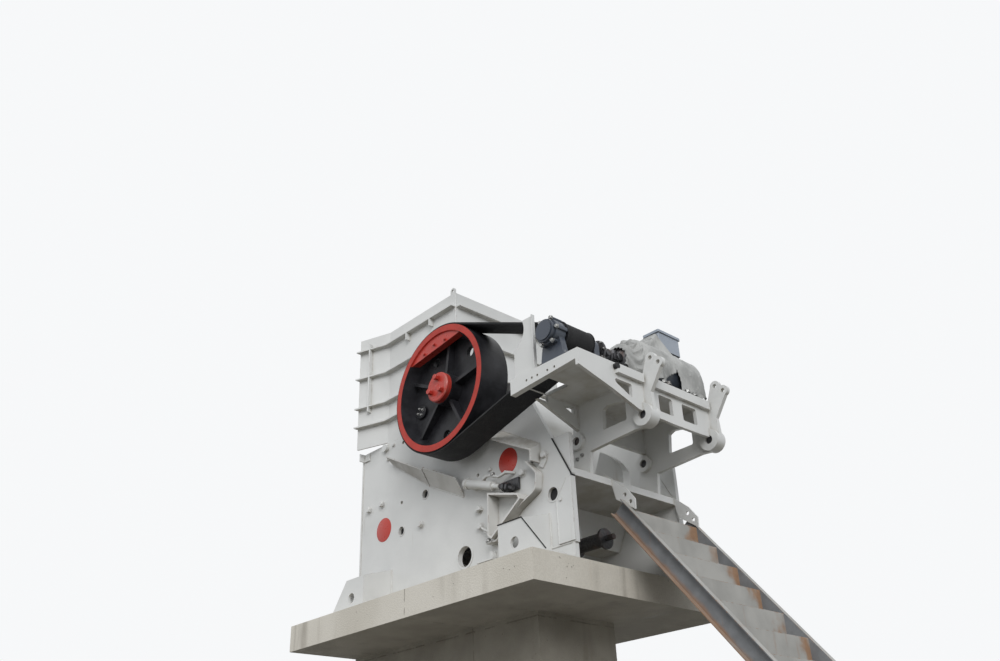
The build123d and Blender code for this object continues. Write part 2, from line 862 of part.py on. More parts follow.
# Motor bracket side plate: foot on the saddle, pivot and lug bosses, window and rising ear with two lobes
bracket_inner = bracket_half_spacing - bracket_plate / 2
bracket_foot_front_x = pivot_x - foot_front_offset
bracket_foot_rear_x = pivot_x + foot_rear_offset
with BuildPart() as bracket_side:
    with BuildSketch(xz_plane(-bracket_inner)):
        with BuildLine():
            Polyline(
                (bracket_foot_front_x, saddle_z(bracket_foot_front_x)),
                (bracket_foot_rear_x, saddle_z(bracket_foot_rear_x)),
                (pivot_x + belly_front_offset, pivot_z - belly_drop),
                (lug_x - belly_rear_offset, pivot_z - belly_drop + belly_rise),
                (lug_x, lug_z - lug_boss_radius),
                (lug_x + lug_boss_radius, lug_z),
                (lug_x + ear_waist[0], lug_z + ear_waist[1]),
                (lug_x + ear_rear_hole[0] + ear_lobe_radius, lug_z + ear_rear_hole[1]),
                (lug_x + ear_rear_hole[0], lug_z + ear_rear_hole[1] + ear_lobe_radius),
                (lug_x + ear_front_hole[0], lug_z + ear_front_hole[1] + ear_lobe_radius),
                (lug_x + ear_front_hole[0] - ear_lobe_radius, lug_z + ear_front_hole[1]),
                (rear_face_x, deck_bottom),
                (deck_front_x, deck_bottom),
                (pivot_x - pivot_boss_radius, pivot_z),
                close=True,
            )
        make_face()
        with Locations((pivot_x, pivot_z)):
            Circle(pivot_boss_radius)
            Circle(bracket_pin_radius, mode=Mode.SUBTRACT)
        with Locations((lug_x, lug_z)):
            Circle(lug_boss_radius)
            Circle(bracket_pin_radius, mode=Mode.SUBTRACT)
        for hole in (ear_front_hole, ear_rear_hole):
            with Locations((lug_x + hole[0], lug_z + hole[1])):
                Circle(ear_lobe_radius)
                Circle(ear_hole_radius, mode=Mode.SUBTRACT)
        with BuildLine():
            window_points = [from_pivot(point) for point in side_window]
            FilletPolyline(*window_points, radius=window_corner_radius, close=True)
        make_face(mode=Mode.SUBTRACT)
    extrude(amount=bracket_plate)
    for centre, radius in (((pivot_x, pivot_z), pivot_boss_radius), ((lug_x, lug_z), lug_boss_radius)):
        with BuildSketch(xz_plane(boss_half_length - bracket_half_spacing)):
            with Locations(centre):
                Circle(radius)
                Circle(bracket_pin_radius, mode=Mode.SUBTRACT)
        extrude(amount=2 * boss_half_length)
save_pair(bracket_side.part, "bracket_side")


def leg_slots(low_z: float) -> None:
    """Cut a panel free round the two legs of the bracket, from low_z up to the deck."""
    middle_z = (deck_bottom + low_z) / 2
    with Locations((-bracket_half_spacing, middle_z), (bracket_half_spacing, middle_z)):
        Rectangle(bracket_plate, deck_bottom - low_z, mode=Mode.SUBTRACT)


# Rear panel of the bracket: cantilever web, three windows, a curved lower edge between the lugs and a
# stiffening bar on its rear face
with BuildPart() as bracket_rear_panel:
    with BuildSketch(yz_plane(rear_panel_x)):
        with BuildLine():
            panel_lug = (panel_lug_y, pivot_z + panel_lug_height)
            panel_far = (deck_far_y, pivot_z + panel_lug_height)
            Polyline(
                panel_far,
                (deck_far_y, deck_top),
                (deck_near_y, deck_top),
                (deck_near_y, pivot_z + panel_tip_height),
                (panel_knee[0], pivot_z + panel_knee[1]),
                panel_lug,
            )
            ThreePointArc(panel_lug, (0, pivot_z + panel_lug_height - panel_arc_drop), panel_far)
        make_face()
        with BuildLine():
            FilletPolyline(
                *[(y, pivot_z + rise) for y, rise in tip_window], radius=window_corner_radius, close=True
            )
        make_face(mode=Mode.SUBTRACT)
        for window_y, window_width in middle_windows:
            with Locations((window_y, pivot_z + middle_window_rise)):
                RectangleRounded(window_width, middle_window_height, window_corner_radius, mode=Mode.SUBTRACT)
        leg_slots(pivot_z - panel_notch_drop)
        with Locations((-bracket_half_spacing, lug_z), (bracket_half_spacing, lug_z)):
            Rectangle(
                2 * (boss_half_length + seat_gap), 2 * (lug_boss_radius + seat_gap), mode=Mode.SUBTRACT
            )
    extrude(amount=panel_thickness)
    stiffener_inner = bracket_half_spacing - bracket_plate / 2 - stiffener_clearance
    stiffener_outer = -bracket_half_spacing - bracket_plate / 2 - stiffener_clearance
    stiffener_z = pivot_z + stiffener_rise + stiffener_height / 2
    with BuildSketch(yz_plane(rear_face_x)):
        with Locations(((stiffener_near_y + stiffener_outer) / 2, stiffener_z)):
            Rectangle(stiffener_outer - stiffener_near_y, stiffener_height)
        with Locations((0, stiffener_z)):
            Rectangle(2 * stiffener_inner, stiffener_height)
    extrude(amount=stiffener_depth)
save(bracket_rear_panel.part, "bracket_rear_panel")

# Front panel of the bracket, between the deck and the pivots, notched for the belt
belt_band = belt_near_y - belt_far_y + 2 * belt_slot_clearance
belt_middle_y = -(belt_near_y + belt_far_y) / 2
leg_outer_y = -bracket_half_spacing - bracket_plate / 2
with BuildPart() as bracket_front_panel:
    with BuildSketch(yz_plane(deck_front_x)):
        with BuildLine():
            Polyline(
                (front_panel_tip_y, deck_bottom),
                (-bracket_half_spacing, pivot_z + front_panel_rise),
                (bracket_half_spacing, pivot_z + front_panel_rise),
                (deck_far_y, pivot_z + front_panel_far_rise),
                (deck_far_y, deck_bottom),
                close=True,
            )
        make_face()
        with BuildLine():
            Polyline(*[(leg_outer_y - reach, pivot_z + rise) for reach, rise in front_window], close=True)
        make_face(mode=Mode.SUBTRACT)
        with Locations((belt_middle_y, deck_bottom - belt_notch_depth / 2)):
            Rectangle(belt_band, belt_notch_depth, mode=Mode.SUBTRACT)
        leg_slots(pivot_z)
    extrude(amount=panel_thickness)
save(bracket_front_panel.part, "bracket_front_panel")

# Deck of the bracket, with a slot for the belt, and on the near side a tapering flange with a lip
with BuildPart() as bracket_deck:
    with BuildSketch(Plane.XY.offset(deck_bottom)):
        with Locations(((deck_front_x + rear_panel_x) / 2, (deck_near_y + deck_far_y) / 2)):
            Rectangle(rear_panel_x - deck_front_x, deck_far_y - deck_near_y)
        with Locations((deck_front_x + belt_slot_length / 2, belt_middle_y)):
            Rectangle(belt_slot_length, belt_band, mode=Mode.SUBTRACT)
    extrude(amount=deck_thickness)
    with BuildSketch(xz_plane(deck_near_y + flange_thickness)):
        with BuildLine():
            Polyline(
                (deck_front_x, deck_bottom),
                (deck_front_x, deck_top - flange_front_depth),
                (rear_panel_x, deck_top - flange_rear_depth),
                (rear_panel_x, deck_bottom),
                close=True,
            )
        make_face()
        with Locations(*[(deck_front_x + run, deck_top - flange_hole_drop) for run in flange_hole_places]):
            Circle(flange_hole_radius, mode=Mode.SUBTRACT)
    extrude(amount=flange_thickness)
    with BuildSketch(xz_plane(deck_near_y + flange_lip)):
        with BuildLine():
            Polyline(
                (deck_front_x, deck_top - flange_front_depth),
                (rear_panel_x, deck_top - flange_rear_depth),
                (rear_panel_x, deck_top - flange_rear_depth + flange_thickness),
                (deck_front_x, deck_top - flange_front_depth + flange_thickness),
                close=True,
            )
        make_face()
    extrude(amount=flange_lip - flange_thickness)
save(bracket_deck.part, "bracket_deck")

# Pulley stand: a pillow block between pulley and cardan shaft, and the outer bearing, which overhangs
# the near edge of the deck on its own pedestal
outer_bearing_y = -wheel_front_y - outer_bearing_gap
outer_ring_y = outer_bearing_y - outer_bearing_length
outer_neck_y = outer_ring_y - outer_neck_length
with BuildPart() as pulley_stand:
    with BuildSketch(xz_plane(inner_pillow_y + pillow_half_length)):
        with Locations((drive_x, (deck_top + drive_z) / 2)):
            Rectangle(2 * pillow_radius, drive_z - deck_top)
        with Locations((drive_x, deck_top + pillow_foot_height / 2)):
            Rectangle(pillow_foot_width, pillow_foot_height)
        with Locations((drive_x, drive_z)):
            Circle(pillow_radius)
            Circle(drive_shaft_radius + shaft_fit, mode=Mode.SUBTRACT)
    extrude(amount=2 * pillow_half_length)
    with BuildSketch(xz_plane(outer_bearing_y)):
        with BuildLine():
            Polyline(
                (drive_x - pedestal_foot_half_width, deck_top),
                (drive_x + pedestal_foot_half_width, deck_top),
                (drive_x + pedestal_foot_half_width, deck_top + pedestal_foot_height),
                (drive_x + pedestal_half_width, drive_z),
                (drive_x - pedestal_half_width, drive_z),
                (drive_x - pedestal_foot_half_width, deck_top + pedestal_foot_height),
                close=True,
            )
        make_face()
        with Locations((drive_x, drive_z)):
            Circle(drive_shaft_radius + shaft_fit, mode=Mode.SUBTRACT)
    extrude(amount=outer_bearing_y - deck_near_y)
    with BuildSketch(xz_plane(outer_bearing_y)):
        with Locations((drive_x, drive_z)):
            Circle(outer_bearing_radius)
            with PolarLocations(outer_bearing_radius, outer_lug_count):
                RectangleRounded(outer_lug_size, outer_lug_size, outer_lug_size / 4)
            Circle(drive_shaft_radius + shaft_fit, mode=Mode.SUBTRACT)
    extrude(amount=outer_bearing_length)
    with BuildSketch(xz_plane(outer_ring_y)):
        with Locations((drive_x, drive_z)):
            Circle(outer_neck_radius)
            Circle(drive_shaft_radius + shaft_fit, mode=Mode.SUBTRACT)
    extrude(amount=outer_neck_length)
    with BuildSketch(xz_plane(outer_neck_y)):
        with Locations((drive_x, drive_z)):
            Circle(outer_cover_radius)
    extrude(amount=outer_cover_thickness)
save(pulley_stand.part, "pulley_stand")

# Shield plate beside the belt, on the near edge of the deck, with a flange along its rear edge
shield_front_x = pivot_x + shield_front_offset
shield_rear_x = shield_front_x + shield_width
shield_top = deck_top + shield_height
with BuildPart() as belt_shield:
    with BuildSketch(xz_plane(deck_near_y + shield_inset)):
        with Locations(((shield_front_x + shield_rear_x) / 2, (deck_top + shield_top) / 2)):
            Rectangle(shield_rear_x - shield_front_x, shield_top - deck_top)
        with Locations((shield_front_x - shield_cut_offset, shield_top - shield_cut_drop)):
            Circle(shield_cut_radius, mode=Mode.SUBTRACT)
    extrude(amount=shield_thickness)
    with BuildSketch(yz_plane(shield_rear_x - shield_thickness)):
        with Locations((deck_near_y + shield_flange / 2, (deck_top + shield_top) / 2)):
            Rectangle(shield_flange, shield_top - deck_top)
    extrude(amount=shield_thickness)
save(belt_shield.part, "belt_shield")

# Motor: barrel with stepped end bells, on a pedestal and cross feet on the deck
drive_axis = Axis((drive_x, 0, drive_z), (0, 1, 0))
drive_plane = Plane(origin=(drive_x, 0, drive_z), x_dir=(1, 0, 0), z_dir=(0, 0, 1))
motor_end_radius = motor_radius - motor_end_inset
motor_middle_y = (motor_near_y + motor_far_y) / 2
with BuildPart() as motor:
    with BuildSketch(drive_plane):
        with BuildLine():
            Polyline(
                (0, motor_near_y),
                (motor_end_radius, motor_near_y),
                (motor_radius, motor_near_y + motor_end_length),
                (motor_radius, motor_far_y - motor_end_length),
                (motor_end_radius, motor_far_y),
                (0, motor_far_y),
                close=True,
            )
        make_face()
    revolve(axis=drive_axis)
    with BuildSketch(Plane.XY.offset(deck_top)):
        with Locations((drive_x, motor_middle_y)):
            Rectangle(2 * motor_pedestal_half_width, motor_far_y - motor_near_y - 2 * motor_end_length)
    extrude(amount=shaft_height - motor_pedestal_half_width)
    with BuildSketch(Plane.XY.offset(deck_top)):
        for foot_y in (motor_near_y + motor_foot_length, motor_far_y - motor_foot_length):
            with Locations((drive_x, foot_y)):
                Rectangle(2 * motor_foot_half_width, motor_foot_length)
    extrude(amount=motor_foot_height)
save(motor.part, "motor")

# Terminal box on its neck above the motor, with a lip round its lid
box_x = drive_x + box_offset
box_bottom = drive_z + motor_radius + box_gap
with BuildPart() as terminal_box:
    with BuildSketch(Plane.XY.offset(box_bottom)):
        with Locations((box_x, box_centre_y)):
            RectangleRounded(box_width, box_length, box_lip)
    extrude(amount=box_height)
    with BuildSketch(Plane.XY.offset(box_bottom + box_height - box_lip_height)):
        with Locations((box_x, box_centre_y)):
            RectangleRounded(box_width + 2 * box_lip, box_length + 2 * box_lip, box_lip)
    extrude(amount=box_lip_height)
    with BuildSketch(Plane.XY.offset(drive_z + motor_radius + seat_gap)):
        with Locations((box_x, box_centre_y)):
            Rectangle(neck_size, neck_size)
    extrude(amount=box_gap - seat_gap)
save(terminal_box.part, "terminal_box")

# Cover sheet over the motor: a thin hood with a hole for the neck of the terminal box
cover_bottom = deck_top + seat_gap
cover_inner = motor_radius + cover_gap
cover_outer = cover_inner + cover_plate
cover_near_y = motor_near_y - cover_near_reach
cover_far_y = motor_far_y + cover_far_reach


def hood_points(radius: float) -> tuple:
    """Foot and arc points of the hood's cross-section at the given crown radius."""
    side = radius + cover_side_reach
    return (
        (drive_x - side, cover_bottom),
        (drive_x - radius, drive_z),
        (drive_x, drive_z + radius),
        (drive_x + radius, drive_z),
        (drive_x + side, cover_bottom),
    )


with BuildPart() as motor_cover:
    with BuildSketch(xz_plane(cover_far_y)):
        for hood_radius, hood_mode in ((cover_outer, Mode.ADD), (cover_inner, Mode.SUBTRACT)):
            left_foot, left, crown, right, right_foot = hood_points(hood_radius)
            with BuildLine():
                Line(left_foot, left)
                ThreePointArc(left, crown, right)
                Line(right, right_foot)
                Line(right_foot, left_foot)
            make_face(mode=hood_mode)
    extrude(amount=cover_far_y - cover_near_y)
    with BuildSketch(Plane.XY.offset(drive_z)):
        with Locations((box_x, box_centre_y)):
            Rectangle(neck_size + 2 * cover_slit, neck_size + 2 * cover_slit)
    extrude(amount=cover_outer + cover_slit, mode=Mode.SUBTRACT)
save(motor_cover.part, "motor_cover")

# Drive belt: one flat band round the sheave and the pulley
belt_span = Vector(drive_x - rotor_x, drive_z - rotor_z)
belt_bearing = atan2(belt_span.Y, belt_span.X)
belt_lean = asin((wheel_radius - pulley_radius) / belt_span.length)


def belt_points(offset: float) -> tuple:
    """Ends and middles of the two arcs of the belt, offset outwards from the rims."""
    upper = belt_bearing + radians(90) - belt_lean
    lower = belt_bearing - radians(90) + belt_lean
    turn = (lower, belt_bearing + radians(180), upper)
    wheel_arc = [rim_point((rotor_x, rotor_z), wheel_radius + offset, angle) for angle in turn]
    turn = (upper, belt_bearing, lower)
    pulley_arc = [rim_point((drive_x, drive_z), pulley_radius + offset, angle) for angle in turn]
    return wheel_arc, pulley_arc


with BuildPart() as drive_belt:
    with BuildSketch(xz_plane(-belt_far_y)):
        for belt_offset, belt_mode in ((belt_gap + belt_thickness, Mode.ADD), (belt_gap, Mode.SUBTRACT)):
            wheel_arc, pulley_arc = belt_points(belt_offset)
            with BuildLine():
                ThreePointArc(*wheel_arc)
                Line(wheel_arc[-1], pulley_arc[0])
                ThreePointArc(*pulley_arc)
                Line(pulley_arc[-1], wheel_arc[0])
            make_face(mode=belt_mode)
    extrude(amount=belt_near_y - belt_far_y)
save(drive_belt.part, "drive_belt")

# Sloped ledges below the wheel and the roof plate above the wedge adjuster. Each runs between two
# cross-sections: from the side plate outwards, with its outer edge higher or lower
front_ledge = ((front_ledge_start, front_ledge_start_rise), (front_ledge_end, front_ledge_end_rise))
rear_ledge = ((rear_ledge_start, rear_ledge_start_rise), (rear_ledge_end, rear_ledge_end_rise))
roof_plate = ((roof_start, -roof_start_drop), (roof_end, -roof_end_drop))
with BuildPart() as guard_ledges:
    for sections, reach in ((front_ledge, ledge_reach), (rear_ledge, ledge_reach), (roof_plate, roof_reach)):
        for place, rise in sections:
            with BuildSketch(yz_plane(place[0])):
                with BuildLine():
                    Polyline(
                        (-frame_half_width, place[1]),
                        (-frame_half_width - reach, place[1] + rise),
                        (-frame_half_width - reach, place[1] + rise + ledge_plate),
                        (-frame_half_width, place[1] + ledge_plate),
                        close=True,
                    )
                make_face()
        loft(ruled=True)
    roof_edge_z = roof_end[1] - roof_end_drop
    with BuildSketch(yz_plane(roof_end[0] - ledge_plate)):
        with BuildLine():
            Polyline(
                (-frame_half_width, roof_end[1] + ledge_plate),
                (-frame_half_width - roof_reach, roof_edge_z + ledge_plate),
                (-frame_half_width - roof_reach, roof_edge_z - roof_leg_drop),
                (-frame_half_width, roof_edge_z - roof_leg_drop),
                close=True,
            )
        make_face()
    extrude(amount=ledge_plate)
save_pair(guard_ledges.part, "guard_ledges")

# Wedge adjuster: closed frame and bent strap on the side plate, and its hydraulic cylinder
with BuildPart() as wedge_bracket:
    with BuildSketch(xz_plane(-frame_half_width)):
        with BuildLine():
            Polyline(*adjuster_corners, close=True)
        make_face()
        offset(amount=-adjuster_plate, mode=Mode.SUBTRACT)
    extrude(amount=adjuster_depth)
    with BuildSketch(xz_plane(-frame_half_width)):
        with BuildLine():
            FilletPolyline(*strap_points, radius=strap_bend_radius)
            offset(amount=strap_plate / 2, side=Side.BOTH)
        make_face()
    extrude(amount=strap_depth)
save_pair(wedge_bracket.part, "wedge_bracket")

cylinder_y = -frame_half_width - cylinder_standoff
cylinder_run = Vector(*cylinder_end) - Vector(*cylinder_start)
cylinder_plane = Plane(
    origin=(cylinder_start[0], cylinder_y, cylinder_start[1]),
    x_dir=(0, 1, 0),
    z_dir=(cylinder_run.X, 0, cylinder_run.Y),
)
with BuildPart() as wedge_cylinder:
    with BuildSketch(cylinder_plane):
        Circle(cylinder_radius)
    extrude(amount=cylinder_run.length - adjuster_plate)
    with BuildSketch(cylinder_plane):
        Circle(cap_ring_radius)
    extrude(amount=cap_ring_length)
    with BuildSketch(xz_plane(-frame_half_width)):
        with Locations(cylinder_lug_centre):
            Rectangle(cylinder_lug_width, cylinder_lug_height)
    extrude(amount=cylinder_standoff)
save_pair(wedge_cylinder.part, "wedge_cylinder")

# Wheel: rim that thickens towards a dished web with round windows, hub and radial ribs
wheel_axis = Axis((rotor_x, 0, rotor_z), (0, 1, 0))
wheel_plane = Plane(origin=(rotor_x, 0, rotor_z), x_dir=(1, 0, 0), z_dir=(0, 0, 1))
rim_inner = wheel_radius - rim_thickness
rim_root = wheel_radius - rim_root_thickness
hub_bore = journal_radius + shaft_fit
web_front_y = -wheel_front_y + web_depth
web_hub_y = web_front_y + web_dish
with BuildPart() as sheave:
    with BuildSketch(wheel_plane):
        with BuildLine():
            Polyline(
                (hub_bore, -hub_back_y),
                (hub_radius, -hub_back_y),
                (hub_radius, web_hub_y + web_thickness),
                (rim_root, web_front_y + web_thickness),
                (rim_inner, -wheel_back_y),
                (wheel_radius, -wheel_back_y),
                (wheel_radius, -wheel_front_y),
                (rim_inner, -wheel_front_y),
                (rim_root, web_front_y),
                (hub_radius, web_hub_y),
                (hub_radius, -hub_front_y),
                (hub_bore, -hub_front_y),
                close=True,
            )
        make_face()
    revolve(axis=wheel_axis)
    for rib in range(window_count):
        rib_angle = first_rib_angle + 360 / window_count * rib
        with BuildSketch(wheel_plane.rotated((0, -rib_angle, 0))):
            with BuildLine():
                Polyline(
                    (hub_radius - seat_gap, web_hub_y + seat_gap),
                    (rim_root + seat_gap, web_front_y + seat_gap),
                    (rim_root + seat_gap, web_front_y - rib_rim_height),
                    (hub_radius - seat_gap, web_hub_y - rib_hub_height),
                    close=True,
                )
            make_face()
        extrude(amount=rib_thickness / 2, both=True)
    with BuildSketch(xz_plane(-wheel_back_y)):
        with Locations((rotor_x, rotor_z)):
            with PolarLocations(window_circle, window_count, start_angle=first_window_angle):
                Circle(window_radius)
    extrude(amount=wheel_width, mode=Mode.SUBTRACT)
save(sheave.part, "sheave")
save(mirror(sheave.part, about=Plane.XZ), "flywheel")

# Red caps that hold the wheels on the shaft
with BuildPart() as hub_cap:
    with BuildSketch(xz_plane(-hub_front_y)):
        with Locations((rotor_x, rotor_z)):
            Circle(cap_radius)
    extrude(amount=cap_thickness)
    chamfer(hub_cap.faces().sort_by(Axis.Y)[0].edges(), cap_chamfer)
save_pair(hub_cap.part, "hub_cap")

# Counterweight segments inside the tapering rims
rim_taper = (rim_root_thickness - rim_thickness) / web_depth
weight_front_y = weight_inset - wheel_front_y
weight_back_y = weight_front_y + weight_thickness
weight_front_radius = rim_inner - rim_taper * weight_inset - seat_gap
with BuildPart() as counterweight:
    with BuildSketch(wheel_plane):
        with BuildLine():
            Polyline(
                (0, weight_front_y),
                (weight_front_radius, weight_front_y),
                (weight_front_radius - rim_taper * weight_thickness, weight_back_y),
                (0, weight_back_y),
                close=True,
            )
        make_face()
    revolve(axis=wheel_axis)
    with BuildSketch(xz_plane(weight_back_y)):
        with Locations(Location((rotor_x, rotor_z, 0), (0, 0, weight_angle - 90))):
            with Locations((0, weight_chord - wheel_radius)):
                Rectangle(2 * wheel_radius, 2 * wheel_radius)
    extrude(amount=weight_thickness, mode=Mode.SUBTRACT)
save_pair(counterweight.part, "counterweight")

# Eccentric shaft
with BuildPart() as eccentric_shaft:
    with BuildSketch(xz_plane(hub_front_y)):
        with Locations((rotor_x, rotor_z)):
            Circle(journal_radius)
    extrude(amount=2 * hub_front_y)
    with BuildSketch(xz_plane(pitman_half_width)):
        with Locations((rotor_x, rotor_z - throw)):
            Circle(eccentric_radius)
    extrude(amount=2 * pitman_half_width)
save(eccentric_shaft.part, "eccentric_shaft")

# Drive pulley on its shaft
coupling_y = inner_pillow_y + coupling_start
with BuildPart() as drive_pulley:
    with BuildSketch(xz_plane(-wheel_back_y)):
        with Locations((drive_x, drive_z)):
            Circle(pulley_radius)
    extrude(amount=wheel_width)
    with BuildSketch(xz_plane(coupling_y)):
        with Locations((drive_x, drive_z)):
            Circle(drive_shaft_radius)
    extrude(amount=coupling_y - outer_neck_y - seat_gap)
save(drive_pulley.part, "drive_pulley")

# Cardan shaft from the pulley shaft to the motor
motor_coupling_y = motor_near_y - motor_coupling_gap
with BuildPart() as cardan_shaft:
    with BuildSketch(drive_plane):
        with BuildLine():
            Polyline(
                (0, coupling_y),
                (coupling_radius, coupling_y),
                (coupling_radius, coupling_y + coupling_length),
                (tube_radius, coupling_y + coupling_length + coupling_taper),
                (tube_radius, motor_coupling_y - motor_coupling_length - coupling_taper),
                (motor_coupling_radius, motor_coupling_y - motor_coupling_length),
                (motor_coupling_radius, motor_coupling_y),
                (stub_radius, motor_coupling_y),
                (stub_radius, motor_near_y - seat_gap),
                (0, motor_near_y - seat_gap),
                close=True,
            )
        make_face()
    revolve(axis=drive_axis)
save(cardan_shaft.part, "cardan_shaft")

# Access stair: channel stringers from the hangers down to the ground, with folded treads
stair_slope = tan(radians(stair_angle))
vertical_depth = stringer_depth / cos(radians(stair_angle))
along = Vector(cos(radians(stair_angle)), -stair_slope * cos(radians(stair_angle)))
across = Vector(along.Y, -along.X)


def stair_x(z: float) -> float:
    """X of the upper edge of the stringers at height z."""
    return stair_head_x + (stair_head_z - z) / stair_slope


def stringer_outline(inset: float) -> list:
    """Side outline of a stringer, cut level at the ground and square to its length at the head."""
    head_x = stair_head_x + stringer_head_run
    head = Vector(head_x, stair_head_z - stringer_head_run * stair_slope) + across * inset
    heel = head + across * (stringer_depth - 2 * inset)
    ground_run = inset / cos(radians(stair_angle)) / stair_slope
    return [
        (head.X, head.Y),
        (stair_x(0) - ground_run, 0),
        (stair_x(0) - vertical_depth / stair_slope + ground_run, 0),
        (heel.X, heel.Y),
    ]


with BuildPart() as stair_stringer_near:
    with BuildSketch(xz_plane(stair_near_y + stringer_flange)):
        with BuildLine():
            Polyline(*stringer_outline(0), close=True)
        make_face()
    extrude(amount=stringer_plate)
    with BuildSketch(xz_plane(stair_near_y + stringer_flange - stringer_plate)):
        with BuildLine():
            Polyline(*stringer_outline(0), close=True)
        make_face()
        with BuildLine():
            Polyline(*stringer_outline(stringer_plate), close=True)
        make_face(mode=Mode.SUBTRACT)
    extrude(amount=stringer_flange - stringer_plate)
save(stair_stringer_near.part, "stair_stringer_near")

stair_mid = Plane.XZ.offset(-(stair_near_y + stair_far_y) / 2)
save(mirror(stair_stringer_near.part, about=stair_mid), "stair_stringer_far")

going = riser_height / stair_slope
tread_count = int((stair_head_z - nosing_drop) / riser_height)
with BuildPart() as stair_treads:
    with BuildSketch(xz_plane(stair_far_y - stringer_flange)):
        with BuildLine():
            lower_points = []
            upper_points = []
            for step in range(tread_count):
                step_z = stair_head_z - nosing_drop - (step + 1) * riser_height
                step_x = stair_head_x + step * going
                under_z = step_z - tread_plate
                upper_points += [(step_x, step_z), (step_x + going, step_z)]
                lower_points += [(step_x - tread_plate, under_z), (step_x + going - tread_plate, under_z)]
            Polyline(*upper_points, *reversed(lower_points), close=True)
        make_face()
    extrude(amount=stair_width - 2 * stringer_flange)
save(stair_treads.part, "stair_treads")
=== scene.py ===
"""Looks of the jaw crusher on its concrete plinth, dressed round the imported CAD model.

Lengths are in metres in the CAD frame: +X from the feed end to the discharge end, +Y from the
sheave side to the flywheel side, +Z up.
"""

import json
import logging
import math
from dataclasses import dataclass, field
from enum import Enum
from itertools import product
from typing import Sequence

import bmesh
import bpy
from bpy.types import Material, Mesh, Node, NodeSocket, NodeTree, Object
from mathutils import Matrix, Vector


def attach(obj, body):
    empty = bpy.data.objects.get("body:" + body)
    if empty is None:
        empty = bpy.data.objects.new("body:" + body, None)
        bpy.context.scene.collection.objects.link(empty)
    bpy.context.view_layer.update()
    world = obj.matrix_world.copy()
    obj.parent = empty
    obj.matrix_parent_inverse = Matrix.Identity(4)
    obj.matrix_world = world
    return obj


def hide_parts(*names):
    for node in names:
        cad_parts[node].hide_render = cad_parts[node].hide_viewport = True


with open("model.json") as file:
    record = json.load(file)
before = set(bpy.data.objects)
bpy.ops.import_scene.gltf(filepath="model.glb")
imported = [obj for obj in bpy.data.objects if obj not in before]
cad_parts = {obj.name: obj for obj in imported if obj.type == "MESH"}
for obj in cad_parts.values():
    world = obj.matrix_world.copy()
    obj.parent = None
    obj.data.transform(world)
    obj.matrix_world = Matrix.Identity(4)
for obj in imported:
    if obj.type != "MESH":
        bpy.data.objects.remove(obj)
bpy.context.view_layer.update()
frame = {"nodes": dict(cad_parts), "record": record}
LOG = logging.getLogger("jaw_crusher")

Pair = tuple[float, float]
Point = tuple[float, float, float]
Colour = tuple[float, float, float]
Row = tuple[float, ...]

NEAR, FAR, UP = (0, -1, 0), (0, 1, 0), (0, 0, 1)
ROTOR_AXIS = (0.437, 6.235)  # X and Z of the eccentric shaft
DRIVE_AXIS = (2.361, 6.084)  # X and Z of the motor and the drive pulley
PLATE_FACE = -0.9  # Y of the near side plate's outer face
STAIR_SLOPE = math.radians(51)
STAIR_HEAD_X = 1.926  # X where the stringers' upper edge starts
STAIR_NEAR, STAIR_FAR = -0.27, 0.805  # Y of the stringers' outer faces
WHEEL_RADIUS = 0.765  # of the sheave and the flywheel


class Body(Enum):
    """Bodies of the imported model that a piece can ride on."""

    CRUSHER = "crusher"
    ROTOR = "rotor"
    DRIVE = "drive"


class Slot(Enum):
    """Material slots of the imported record."""

    CONCRETE = "concrete"
    WHITE = "white_paint"
    RED = "red_paint"
    WHEEL = "wheel_black"
    DARK_STEEL = "dark_steel"
    JAW_STEEL = "jaw_steel"
    BLUE_GREY = "blue_grey_paint"
    BELT = "belt_rubber"
    STAIR = "stair_steel"
    SHEET = "cover_sheet"


def assign(target: object, **values: object) -> None:
    """Set several properties of a Blender object by their names."""
    for key, value in values.items():
        setattr(target, key, value)


def add_object(name: str, data: bpy.types.ID) -> Object:
    """Add an object to the scene.

    Args:
        name: Name of the object.
        data: Its mesh, camera or lamp.

    Returns:
        The object.
    """
    made = bpy.data.objects.new(name, data)
    bpy.context.scene.collection.objects.link(made)
    return made


def scaled(colour: Colour, factor: float) -> Colour:
    """Colour times a factor."""
    return tuple(factor * part for part in colour)


def ease(value: float, low: float, high: float) -> float:
    """Smooth step from 0 at low to 1 at high."""
    share = min(1.0, max(0.0, (value - low) / (high - low)))
    return share * share * (3 - 2 * share)


def turns(count: int) -> list[float]:
    """Angles of one full turn in equal steps."""
    return [2 * math.pi * step / count for step in range(count)]


def polar(centre: Pair, radius: float, angle: float) -> Pair:
    """X and Z at a distance from a centre, at an angle in radians from +X towards +Z."""
    return centre[0] + radius * math.cos(angle), centre[1] + radius * math.sin(angle)


